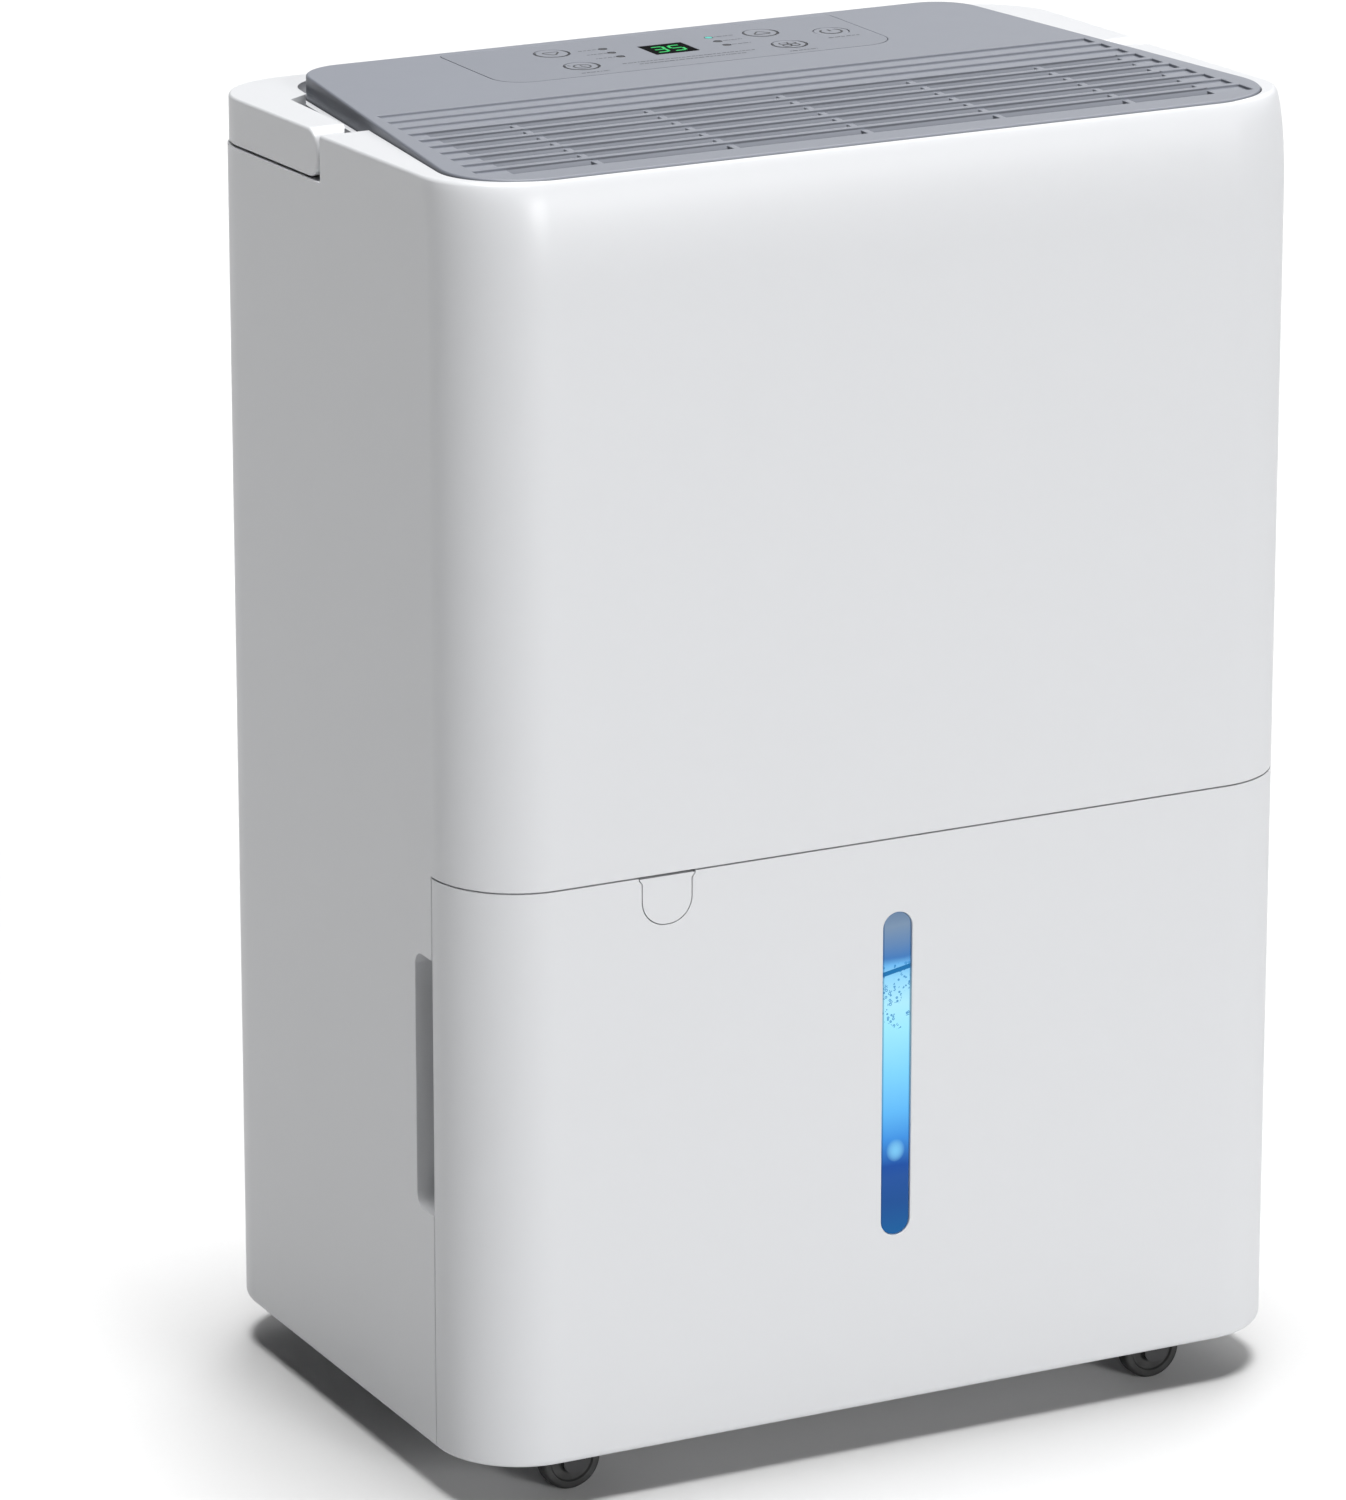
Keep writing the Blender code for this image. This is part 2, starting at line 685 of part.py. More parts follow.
def cut_controls(piece, label, clearance):
    """Openings for the buttons, the display window and the light pipes."""
    for name, (x, y) in BUTTONS.items():
        hole = circle(x, y, BUTTON_R + clearance)
        cut(piece, prism(f"{label}_{name}_hole", hole, 530.0, 600.0))
    half_x, half_y = DISPLAY_HALF
    window = rectangle(-half_x - clearance, half_x + clearance, DISPLAY_Y - half_y - clearance,
                       DISPLAY_Y + half_y + clearance)
    cut(piece, prism(f"{label}_display_hole", window, 530.0, 600.0))
    for side in (-1, 1):
        for row, y in enumerate(LIGHT_ROWS):
            hole = circle(side * LIGHT_X, y, LIGHT_R + clearance, 12)
            cut(piece, prism(f"{label}_light_hole_{side}_{row}", hole, 530.0, 600.0))


def make_overlay():
    top = lambda y: panel_z(y) - 0.02
    overlay = prism("control_overlay", overlay_outline(0.0), lambda y: panel_z(y) - OVERLAY_THICK, top,
                    grey_plastic())
    cut_controls(overlay, "overlay", 0.3)


def make_controls():
    """Buttons, display, light pipes and the board that they work on."""
    for name, (x, y) in BUTTONS.items():
        flange = BUTTON_R + 1.1
        profile = [(2.0, -10.2), (2.0, -5.4), (flange, -5.4), (flange, -4.3), (BUTTON_R, -4.3), (BUTTON_R, 0.0)]
        button = turned(name, profile, (x, y, panel_z(y) - 0.05), "Z", grey_plastic())
        pivot_at(button, (x, y, panel_z(y)))
    half_x, half_y = DISPLAY_HALF
    top = lambda y: panel_z(y) - 0.1
    window = rectangle(-half_x, half_x, DISPLAY_Y - half_y, DISPLAY_Y + half_y)
    prism("display_window", window, lambda y: panel_z(y) - 2.0, top, dark_plastic())
    block("display_module", (-half_x, DISPLAY_Y - half_y, BOARD_Z + 0.3), (half_x, DISPLAY_Y + half_y, 553.2),
          dark_plastic())
    for side, label in ((-1, "left"), (1, "right")):
        x = side * LIGHT_X
        low = (x - 3, LIGHT_ROWS[0] - 4, BOARD_Z + 0.3)
        bar = block(f"light_pipe_{label}", low, (x + 3, LIGHT_ROWS[-1] + 4, 549.0), clear_plastic())
        for row, y in enumerate(LIGHT_ROWS):
            pip = turned(f"pip_{label}_{row}", [(LIGHT_R, -8.0), (LIGHT_R, -0.05)], (x, y, panel_z(y)), steps=12)
            join(bar, pip)
    board = block("control_board", (-90, 52, BOARD_Z - 1.6), (90, 105, BOARD_Z), board_green())
    for name, (x, y) in BUTTONS.items():
        switch = block(f"switch_{name}", (x - 3, y - 3, BOARD_Z - 0.5), (x + 3, y + 3, BOARD_Z + 2.2))
        join(board, switch)


def arm_inner_half(y):
    return ARM_INNER + ARM_INNER_SLOPE * (y - ARM_INNER_Y)


def arm_inner_outline():
    """Plan of the space inside the handle, widened round the nose of each arm."""
    front = -DEPTH
    shoulder = ARM_INNER_Y - 5
    corners = [
        (ARM_NOSE[0] + 3, front),
        (ARM_NOSE[0] + 3, ARM_NOSE[1] - 3),
        (ARM_NOSE[0], ARM_NOSE[1]),
        (arm_inner_half(shoulder), shoulder),
        (arm_inner_half(BAR_INNER_Y), BAR_INNER_Y),
    ]
    mirrored = [(-x, y) for x, y in corners[::-1]]
    return rounded(corners + mirrored, [0.1, 2.0, 2.0, 6.0, BAR_INNER_R, BAR_INNER_R, 6.0, 2.0, 2.0, 0.1])


def arm_side_outline(low, high):
    """Side view of the handle in Y and Z: two sloping lines that end in a half circle about the pivot."""
    rear = DEPTH
    arc_steps = 16
    tilt = math.atan(HANDLE_SLOPE)
    nose = []
    for step in range(arc_steps + 1):
        angle = tilt + math.pi / 2 + math.pi * step / arc_steps
        nose.append((PIVOT_Y + ARM_HALF * math.cos(angle), PIVOT_Z + ARM_HALF * math.sin(angle)))
    return [(rear, high(rear)), *nose, (rear, low(rear))]


def make_handle():
    """U-shaped bail round the back of the panel, on a pivot pin at each front end."""
    low = lambda y: PIVOT_Z - ARM_HALF + HANDLE_SLOPE * (y - PIVOT_Y)
    high = lambda y: PIVOT_Z + ARM_HALF + HANDLE_SLOPE * (y - PIVOT_Y)
    outer = [(x, y) for x, y, _ in cabinet_ring(HANDLE_OUT, 0.0)]
    handle = prism("carry_handle", outer, low, high, white_plastic())
    cut(handle, prism("handle_inside", arm_inner_outline(), 500.0, 600.0))
    keep(handle, prism_x("arm_side", arm_side_outline(low, high), -WIDTH, WIDTH))
    for side, label in ((-1, "left"), (1, "right")):
        hole_ends = sorted((side * 150.0, side * 188.6))
        cut(handle, prism_x(f"arm_hole_{label}", circle(PIVOT_Y, PIVOT_Z, PIN_HOLE_R, 16), *hole_ends))
        pin_ends = sorted((side * 163.0, side * 188.0))
        prism_x(f"handle_pin_{label}", circle(PIVOT_Y, PIVOT_Z, PIN_R, 16), *pin_ends, zinc_steel())
    pivot_at(handle, (0, PIVOT_Y, PIVOT_Z))


def make_bucket_front():
    """Front cover of the bucket, wrapping both front corners of the cabinet."""
    cover = loft("bucket_front", cabinet_rings(0.0, 0.0), white_plastic())
    reach = WIDTH / 2 + 10
    region = block("cover_region", (-reach, -DEPTH, -5), (reach, SIDE_SEAM_Y - SEAM_GAP, SEAM_Z - SEAM_GAP))
    keep(cover, region)
    inner = [cabinet_ring(WALL, BASE_Z - 10), cabinet_ring(WALL, SEAM_Z + 20)]
    cut(cover, loft("cover_inside", inner))
    slot = rectangle(-WINDOW_HALF, WINDOW_HALF, WINDOW_LOW, WINDOW_HIGH, WINDOW_HALF - 0.05, 8)
    cut(cover, prism_y("window_slot", slot, -DEPTH / 2 - 5, -DEPTH / 2 + 8))
    notch = tab_outline(0.4, SEAM_Z + 6)
    cut(cover, prism_y("tab_notch", notch, -DEPTH / 2 - 5, -DEPTH / 2 + 8))
    return cover


def tab_outline(grow, top):
    left = TAB_X - TAB_HALF - grow
    right = TAB_X + TAB_HALF + grow
    corners = [(left, TAB_LOW - grow), (right, TAB_LOW - grow), (right, top), (left, top)]
    return rounded(corners, [5.0 + grow, 5.0 + grow, 0.3, 0.3], 5)


def make_bucket(root_cover):
    """Bucket, its lid, window and float: everything that slides out with the front."""
    rings = []
    for z, draw in ((BUCKET_FLOOR, 6.0), (BUCKET_FLOOR + 2, 4.0), (BUCKET_TOP - 4, 0.0), (BUCKET_TOP, 0.0)):
        outline = rectangle(-BUCKET_HALF + draw, BUCKET_HALF - draw, BUCKET_FRONT + draw, BUCKET_REAR - draw, 22.0)
        rings.append(level(outline, z))
    bucket = loft("bucket", rings, bucket_plastic())
    inner = []
    for z, draw in ((BUCKET_FLOOR + 2.6, 8.0), (BUCKET_TOP + 6, BUCKET_WALL)):
        outline = rectangle(-BUCKET_HALF + draw, BUCKET_HALF - draw, BUCKET_FRONT + draw, BUCKET_REAR - draw, 20.0)
        inner.append(level(outline, z))
    cut(bucket, loft("bucket_inside", inner))
    attach(bucket, root_cover)

    lens = rectangle(-WINDOW_HALF + 0.3, WINDOW_HALF - 0.3, WINDOW_LOW + 0.3, WINDOW_HIGH - 0.3, WINDOW_HALF - 0.4, 8)
    attach(prism_y("water_window", lens, -DEPTH / 2 + 0.3, -DEPTH / 2 + 3.2, clear_plastic()), root_cover)

    outline = rectangle(-BUCKET_HALF, BUCKET_HALF, BUCKET_FRONT, BUCKET_REAR, 22.0)
    lid = prism("bucket_lid", outline, BUCKET_TOP + 0.3, BUCKET_TOP + 3.0, bucket_plastic())
    cut(lid, turned("drip_hole", [(18, -8), (18, 8)], (*DRIP, BUCKET_TOP)))
    cut(lid, turned("pour_hole", [(16, -8), (16, 8)], (BUCKET_HALF - 26, BUCKET_FRONT + 26, BUCKET_TOP)))
    attach(lid, root_cover)

    tab = prism_y("hose_tab", tab_outline(0.0, SEAM_Z - SEAM_GAP), -DEPTH / 2 + 0.05, -DEPTH / 2 + WALL,
                  white_plastic())
    attach(tab, root_cover)
    make_float(root_cover)


def make_float(parent):
    """Float on an arm that hangs from a bracket below the lid."""
    x, y, z = FLOAT_PIVOT
    bracket = block("float_bracket", (x - 12, y - 5, z - 4), (x - 9, y + 5, BUCKET_TOP + 0.0), bucket_plastic())
    join(bracket, turned("float_pin", [(2.0, -11), (2.0, 9)], (x, y, z), "X", steps=12))
    attach(bracket, parent)
    arm = turned("float_arm", [(4.5, -7), (4.5, 7)], (x, y, z), "X", dark_plastic(), 16)
    join(arm, block("arm_bar", (x - 4, y - 36, z - 3), (x + 4, y - 3, z + 1)))
    join(arm, block("float_body", (x - 14, y - 62, z - 28), (x + 14, y - 32, z - 2)))
    cut(arm, turned("arm_bore", [(2.3, -12), (2.3, 12)], (x, y, z), "X", steps=12))
    pivot_at(arm, FLOAT_PIVOT)
    attach(arm, parent)


def make_machine():
    """Divider, coils, compressor and pipes."""
    wall = block("bay_divider", (-187, 14, BASE_Z + 34.4), (187, 17, SHELF_TOP), white_plastic())
    outline = [(x, y) for x, y, _ in cabinet_ring(WALL + 0.5, 0.0)]
    shelf = prism("bay_shelf", outline, SHELF_TOP - 3, SHELF_TOP)
    cut(shelf, block("shelf_rear_cut", (-200, SHELF_REAR, 200), (200, 200, 300)))
    join(wall, shelf)
    cut(wall, turned("shelf_hole", [(9, -8), (9, 8)], (*DRIP, SHELF_TOP)))
    for x, y, label in ((DISCHARGE_X, 73.0, "discharge"), (-DISCHARGE_X, 99.0, "suction")):
        cut(wall, turned(f"{label}_hole", [(8, -8), (8, 8)], (x, y, SHELF_TOP), steps=20))

    make_coil("evaporator", 90, 112)
    make_coil("condenser", 62, 84)
    tray = block("drip_tray", (-150, 54, TRAY_LOW), (150, SHELF_REAR, TRAY_LOW + 15), white_plastic())
    join(tray, block("tray_spout", (-9, DRIP[1] - 12, TRAY_LOW), (9, 60, TRAY_LOW + 13)))
    cut(tray, block("tray_hollow", (-147.5, 56.5, TRAY_LOW + 2.5), (147.5, SHELF_REAR - 2.5, 320)))
    cut(tray, block("spout_channel", (-6.5, DRIP[1] - 9.5, TRAY_LOW + 2.5), (6.5, 57, 320)))
    cut(tray, turned("spout_hole", [(5, -8), (5, 8)], (*DRIP, TRAY_LOW), steps=16))

    centre = (-70, 72, BASE_Z)
    dome = [(24, 16), (40, 24), (50, 36), (50, 178), (40, 190), (16, 196)]
    compressor = turned("compressor", dome, centre, finish_material=black_enamel(), steps=32)
    foot = rectangle(-114, -26, 30, 114, 12.0)
    join(compressor, prism("compressor_feet", foot, BASE_Z + 14, BASE_Z + 18))
    for index, (x, y) in enumerate(((-102, 42), (-38, 42), (-70, 104))):
        profile = [(8.5, 3.3), (8.5, 9.0), (6.5, 11.0), (6.5, 13.7)]
        turned(f"compressor_grommet_{index + 1}", profile, (x, y, BASE_Z), finish_material=soft_rubber(), steps=16)
    turned("terminal_cap", [(17, 0), (17, 14), (12, 18)], (-70, 72, BASE_Z + 196.4),
           finish_material=dark_plastic())
    outer = DISCHARGE_X
    discharge = [(-14, 72, 120), (10, 72, 124), (60, 72, 130), (130, 72, 150), (outer - 3, 73, 180)]
    discharge += [(outer, 73, 230), (outer, 73, 300), (outer - 3, 73, 330), (150, 73, 345), (141, 73, 350)]
    tube("discharge_pipe", discharge, 3.2, pipe_copper())
    suction = [(-126, 72, 100), (-140, 72, 103), (-156, 80, 120), (-outer, 90, 200)]
    suction += [(-outer, 99, 262), (-outer, 101, 300), (-outer + 3, 101, 330), (-151, 101, 345), (-142, 101, 350)]
    tube("suction_pipe", suction, 4.2, pipe_copper())
    capillary = [(140.5, 73, 470), (150, 76, 474), (156, 86, 476), (156, 95, 470), (150, 101, 460), (140.5, 101, 455)]
    tube("capillary_pipe", capillary, 1.6, pipe_copper())
    capacitor = [(17, 0), (18, 2), (18, 58), (17, 60)]
    turned("run_capacitor", capacitor, (70, 60, BASE_Z + 3.3), finish_material=sheet_aluminium(), steps=20)
    block("humidity_sensor", (139.5, 119.5, 470), (148.5, 127.2, 490), dark_plastic())
    block("float_sensor", (-124, 8.0, 222), (-96, 13.6, 244), dark_plastic())


def make_coil(name, y_low, y_high):
    """Finned block: a comb of vertical fins on a solid core, with header plates at its ends."""
    half = 138.0
    fins = 30
    pitch = 2 * half / fins
    outline = []
    for index in range(fins):
        left = -half + pitch * index
        outline += [(left, y_low), (left + pitch * 0.45, y_low), (left + pitch * 0.45, y_low + 4)]
        if index < fins - 1:
            outline.append((left + pitch, y_low + 4))
    outline += [(half, y_low + 4), (half, y_high), (-half, y_high)]
    return prism(name, outline, TRAY_LOW + 2.8, COIL_TOP, sheet_aluminium())


def make_fan():
    """Housing, motor and wheel of the fan, blowing up through the louvres."""
    x, z = FAN_CENTRE
    housing = block("fan_housing", (-104, -116, SHELF_TOP + 0.3), (104, -50, 541), grey_plastic())
    cut(housing, block("housing_base", (-99, -112, 200), (99, -54, z - FAN_R - 14)))
    cut(housing, turned("scroll_space", [(FAN_R + 10, -113), (FAN_R + 10, -53)], (x, 0, z), "Y", steps=36))
    cut(housing, block("outlet_space", (-94, -113, z), (94, -53, 560)))
    cut(housing, turned("fan_inlet", [(62, -56), (62, -40)], (x, 0, z), "Y", steps=32))
    bracket = block("motor_bracket", (-75, -51, z - 8), (75, -46.5, z + 8))
    cut(bracket, turned("bracket_bore", [(5.5, -60), (5.5, -40)], (x, 0, z), "Y", steps=16))
    join(housing, bracket)
    wheel = turned("fan_wheel", [(FAN_R, FAN_FRONT), (FAN_R, FAN_FRONT + 2.5)], (x, 0, z), "Y", dark_plastic(), 40)
    ring = turned("wheel_ring", [(FAN_R, FAN_REAR - 3), (FAN_R, FAN_REAR)], (x, 0, z), "Y", steps=40)
    cut(ring, turned("ring_hole", [(FAN_R - 9, FAN_REAR - 8), (FAN_R - 9, FAN_REAR + 8)], (x, 0, z), "Y", steps=40))
    join(wheel, ring)
    bm = bmesh.new()
    for index in range(BLADES):
        angle = 2 * math.pi * index / BLADES
        along = Vector((math.cos(angle), math.sin(angle)))
        across = Vector((-along.y, along.x))
        corners = []
        for reach, lean in ((FAN_R - 8, -1.1), (FAN_R - 8, 1.1), (FAN_R - 2, 2.2), (FAN_R - 2, 0.2)):
            point = along * reach + across * lean
            corners.append((x + point.x, z + point.y))
        rings = [[(a, y, b) for a, b in corners] for y in (FAN_FRONT + 1, FAN_REAR - 1)]
        add_loft(bm, rings)
    blades = finish(bm, "wheel_blades", None, smooth=False)
    join(wheel, blades)
    hub = turned("wheel_hub", [(14, FAN_FRONT + 1), (12, FAN_FRONT + 26)], (x, 0, z), "Y", steps=20)
    join(wheel, hub)
    cut(wheel, turned("wheel_bore", [(4.4, FAN_FRONT + 6), (4.4, FAN_REAR + 5)], (x, 0, z), "Y", steps=16))
    pivot_at(wheel, (x, FAN_FRONT, z))
    profile = [(4.0, FAN_FRONT + 10), (4.0, -46.2), (32, -46.2), (36, -41), (36, -14), (30, -8)]
    turned("fan_motor", profile, (x, 0, z), "Y", black_enamel(), 28)


def main():
    clear_scene()
    make_main_casing()
    make_base_pan()
    make_rear_cover()
    for x, z, label in screw_places():
        make_rear_screw(x, z, label)
    make_intake_grille()
    make_drain()
    make_cord_inlet()
    make_top_panel()
    make_overlay()
    make_controls()
    make_handle()
    make_bucket(make_bucket_front())
    make_machine()
    make_fan()
    for x, y, label in caster_places():
        make_caster(x, y, label)


main()
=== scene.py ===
"""Visual model of a household dehumidifier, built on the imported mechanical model.

Lengths are millimetres in the row frame: +Z up, front towards -Y, origin on the floor below the cabinet.
Each new piece is a parametric surface made with numpy and stands for the mechanical node of its name.
"""

import json
import logging
import math
from dataclasses import dataclass, field
from enum import Enum
from typing import Callable, Sequence

import bmesh
import bpy
import numpy as np
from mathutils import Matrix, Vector


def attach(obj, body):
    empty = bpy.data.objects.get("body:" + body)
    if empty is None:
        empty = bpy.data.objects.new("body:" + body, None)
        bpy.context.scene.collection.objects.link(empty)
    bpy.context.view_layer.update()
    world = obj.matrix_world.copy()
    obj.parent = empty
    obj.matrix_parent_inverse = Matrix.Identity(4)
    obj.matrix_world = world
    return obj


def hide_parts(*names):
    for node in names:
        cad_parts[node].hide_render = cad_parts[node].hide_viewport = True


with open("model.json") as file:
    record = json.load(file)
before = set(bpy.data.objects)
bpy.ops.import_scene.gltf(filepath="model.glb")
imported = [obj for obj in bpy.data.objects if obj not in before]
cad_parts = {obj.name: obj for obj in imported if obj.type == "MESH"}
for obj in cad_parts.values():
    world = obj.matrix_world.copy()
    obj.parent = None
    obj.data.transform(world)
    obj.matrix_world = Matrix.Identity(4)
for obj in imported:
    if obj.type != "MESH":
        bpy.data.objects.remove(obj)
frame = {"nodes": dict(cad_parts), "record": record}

LOG = logging.getLogger("dehumidifier")
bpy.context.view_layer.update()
MM = 0.001
SMOOTH_ANGLE = 32.0
ABOVE = 600.0
Array = np.ndarray
Colour = tuple[float, float, float]
Bands = list[tuple[np.ndarray, list[list[int]]]]


class Side(Enum):
    """Left or right of the machine, seen from its front."""

    LEFT = -1
    RIGHT = 1

    @property
    def label(self) -> str:
        """Lower-case name of the side."""
        return self.name.lower()


class Axis(Enum):
    """The axis that a turned or extruded piece follows."""

    X = 0
    Y = 1
    Z = 2


class Body(Enum):
    """The moving bodies of the mechanical model that new pieces ride on."""

    CABINET = "cabinet"
    BUCKET = "water_bucket"
    TAB = "hose_tab_piece"
    HANDLE = "handle"


# ---------------------------------------------------------------- finishes


class Graph:
    """The node tree of one material, with short ways to add and join nodes."""

    def __init__(self, name: str) -> None:
        """Start an empty tree with an output.

        Args:
            name: the material's name.
        """
        self.material = bpy.data.materials.new(name)
        self.material.use_nodes = True
        self.tree = self.material.node_tree
        self.tree.nodes.clear()
        self.output = self.tree.nodes.new("ShaderNodeOutputMaterial")
        self.coords = self.node("ShaderNodeTexCoord").outputs["Object"]

    def node(self, kind: str, **settings: object) -> bpy.types.Node:
        """Add a node.

        Args:
            kind: the node's type name.
            settings: values set as attributes of the node.

        Returns:
            The new node.
        """
        made = self.tree.nodes.new(kind)
        for key, value in settings.items():
            setattr(made, key, value)
        return made

    def feed(self, socket: bpy.types.NodeSocket, value: object) -> None:
        """Give a socket a constant or the output of another node.

        Args:
            socket: the input.
            value: a number, a colour, a vector or an output socket.
        """
        if isinstance(value, bpy.types.NodeSocket):
            self.tree.links.new(value, socket)
        else:
            socket.default_value = value

    def maths(self, operation: str, *values: object, clamp: bool = False) -> bpy.types.NodeSocket:
        """Add a Math node.

        Args:
            operation: its operation.
            values: its inputs, in order.
            clamp: whether the result stays between 0 and 1.

        Returns:
            Its output.
        """
        made = self.node("ShaderNodeMath", operation=operation, use_clamp=clamp)
        for socket, value in zip(made.inputs, values):
            self.feed(socket, value)
        return made.outputs[0]

    def noise(self, scale: float, detail: float = 2.0, vector: object = None) -> bpy.types.NodeSocket:
        """Add a noise texture and return its factor.

        Args:
            scale: features per metre.
            detail: octaves of finer noise.
            vector: coordinates, or None for the piece's own.
        """
        made = self.node("ShaderNodeTexNoise")
        self.feed(made.inputs["Vector"], vector or self.coords)
        self.feed(made.inputs["Scale"], scale)
        self.feed(made.inputs["Detail"], detail)
        return made.outputs["Fac"]

    def spread(self, factor: object, low: float, high: float) -> bpy.types.NodeSocket:
        """Map a factor from 0..1 to low..high and return the result."""
        made = self.node("ShaderNodeMapRange")
        for name, value in (("Value", factor), ("To Min", low), ("To Max", high)):
            self.feed(made.inputs[name], value)
        return made.outputs["Result"]

    def ramp(self, factor: object, stops: Sequence[tuple[float, Colour]]) -> bpy.types.NodeSocket:
        """Add a colour ramp.

        Args:
            factor: what it reads.
            stops: position and colour of each stop, in order.

        Returns:
            Its colour.
        """
        made = self.node("ShaderNodeValToRGB")
        elements = made.color_ramp.elements
        while len(elements) < len(stops):
            elements.new(1.0)
        for element, (position, colour) in zip(elements, stops):
            element.position = position
            element.color = (*colour, 1.0)
        self.feed(made.inputs["Fac"], factor)
        return made.outputs["Color"]

    def mix(self, factor: object, first: object, second: object) -> bpy.types.NodeSocket:
        """Blend two colours by a factor and return the result."""
        made = self.node("ShaderNodeMix", data_type="RGBA")
        for index, value in ((0, factor), (6, first), (7, second)):
            if index and isinstance(value, tuple):
                value = (*value[:3], 1.0)
            self.feed(made.inputs[index], value)
        return made.outputs[2]

    def bump(self, height: object, strength: float, distance: float) -> bpy.types.NodeSocket:
        """Turn a height into a normal.

        Args:
            height: the factor read as height.
            strength: how much of the bump shows.
            distance: height of a full step, in metres.

        Returns:
            The normal.
        """
        made = self.node("ShaderNodeBump")
        for name, value in (("Height", height), ("Strength", strength), ("Distance", distance)):
            self.feed(made.inputs[name], value)
        return made.outputs["Normal"]

    def surface(self, **inputs: object) -> bpy.types.Material:
        """Add the Principled shader.

        Args:
            inputs: values by input name, with underscores for spaces.

        Returns:
            The finished material.
        """
        shader = self.node("ShaderNodeBsdfPrincipled")
        for key, value in inputs.items():
            if isinstance(value, tuple) and len(value) == 3:
                value = (*value, 1.0)
            self.feed(shader.inputs[key.replace("_", " ")], value)
        self.tree.links.new(shader.outputs[0], self.output.inputs["Surface"])
        return self.material


@dataclass(frozen=True)
class MouldedPlastic:
    """Injection-moulded plastic: faint flow mottling, fine grain and a gloss that varies a little."""

    name: str
    colour: Colour
    roughness: float
    grain: float = 0.12
    grain_scale: float = 2600.0
    mottle: float = 0.03
    coat: float = 0.0

    def build(self) -> bpy.types.Material:
        """Make the material."""
        graph = Graph(self.name)
        cloud = graph.noise(9.0, 3.0)
        fine = graph.noise(self.grain_scale, 2.0)
        darker = tuple(channel * (1.0 - self.mottle) for channel in self.colour)
        rough = graph.spread(graph.noise(60.0, 4.0), self.roughness * 0.96, self.roughness * 1.04)
        normal = graph.bump(fine, self.grain, 0.00006)
        return graph.surface(
            Base_Color=graph.mix(cloud, darker, self.colour),
            Roughness=rough,
            Normal=normal,
            Coat_Weight=self.coat,
            Coat_Roughness=0.12,
            IOR=1.5,
        )


@dataclass(frozen=True)
class BareMetal:
    """Sheet, pipe or plated metal with brushing along one axis and slightly uneven tarnish."""

    name: str
    colour: Colour
    roughness: float
    stretch: Colour = (60.0, 60.0, 900.0)

    def build(self) -> bpy.types.Material:
        """Make the material."""
        graph = Graph(self.name)
        mapping = graph.node("ShaderNodeMapping")
        graph.feed(mapping.inputs["Vector"], graph.coords)
        graph.feed(mapping.inputs["Scale"], self.stretch)
        lines = graph.noise(1.0, 3.0, mapping.outputs["Vector"])
        stain = graph.noise(35.0, 4.0)
        dull = tuple(channel * 0.78 for channel in self.colour)
        return graph.surface(
            Base_Color=graph.mix(stain, dull, self.colour),
            Metallic=1.0,
            Roughness=graph.spread(lines, self.roughness * 0.75, self.roughness * 1.25),
            Normal=graph.bump(lines, 0.15, 0.00008),
        )


@dataclass(frozen=True)
class Enamel:
    """Baked enamel on steel: orange-peel bump under a clear gloss."""

    name: str
    colour: Colour
    roughness: float = 0.32

    def build(self) -> bpy.types.Material:
        """Make the material."""
        graph = Graph(self.name)
        peel = graph.noise(420.0, 2.0)
        return graph.surface(
            Base_Color=graph.mix(graph.noise(20.0, 4.0), self.colour, tuple(c * 1.4 + 0.004 for c in self.colour)),
            Roughness=graph.spread(graph.noise(70.0, 3.0), self.roughness * 0.8, self.roughness * 1.3),
            Normal=graph.bump(peel, 0.2, 0.0002),
            Coat_Weight=0.4,
            Coat_Roughness=0.1,
        )


@dataclass(frozen=True)
class Rubber:
    """Solid rubber: matt, finely pitted, with a trace of dust."""

    name: str
    colour: Colour
    roughness: float = 0.62

    def build(self) -> bpy.types.Material:
        """Make the material."""
        graph = Graph(self.name)
        dust = graph.ramp(graph.noise(130.0, 5.0), [(0.45, self.colour), (0.75, tuple(c + 0.02 for c in self.colour))])
        return graph.surface(
            Base_Color=dust,
            Roughness=graph.spread(graph.noise(300.0, 3.0), self.roughness * 0.85, self.roughness * 1.15),
            Normal=graph.bump(graph.noise(1500.0, 3.0), 0.35, 0.0001),
        )


@dataclass(frozen=True)
class FilterMesh:
    """Woven filter: two crossed sets of threads, with the open gaps between them painted dark as shade."""

    name: str
    thread: Colour
    # Painted shade: the colour of the open gaps between the threads.
    gap: Colour
    pitch: float = 0.0016

    def build(self) -> bpy.types.Material:
        """Make the material."""
        graph = Graph(self.name)
        split = graph.node("ShaderNodeSeparateXYZ")
        graph.feed(split.inputs[0], graph.coords)
        rate = 2.0 * math.pi / self.pitch
        across = graph.maths("SINE", graph.maths("MULTIPLY", split.outputs["X"], rate))
        along = graph.maths("SINE", graph.maths("MULTIPLY", split.outputs["Z"], rate))
        weave = graph.maths("MAXIMUM", across, along)
        height = graph.spread(weave, 0.0, 1.0)
        return graph.surface(
            # Painted shade: the gaps between the threads take the dark gap colour.
            Base_Color=graph.mix(graph.maths("GREATER_THAN", weave, 0.55), self.gap, self.thread),
            Roughness=0.8,
            Normal=graph.bump(height, 0.6, 0.0003),
        )


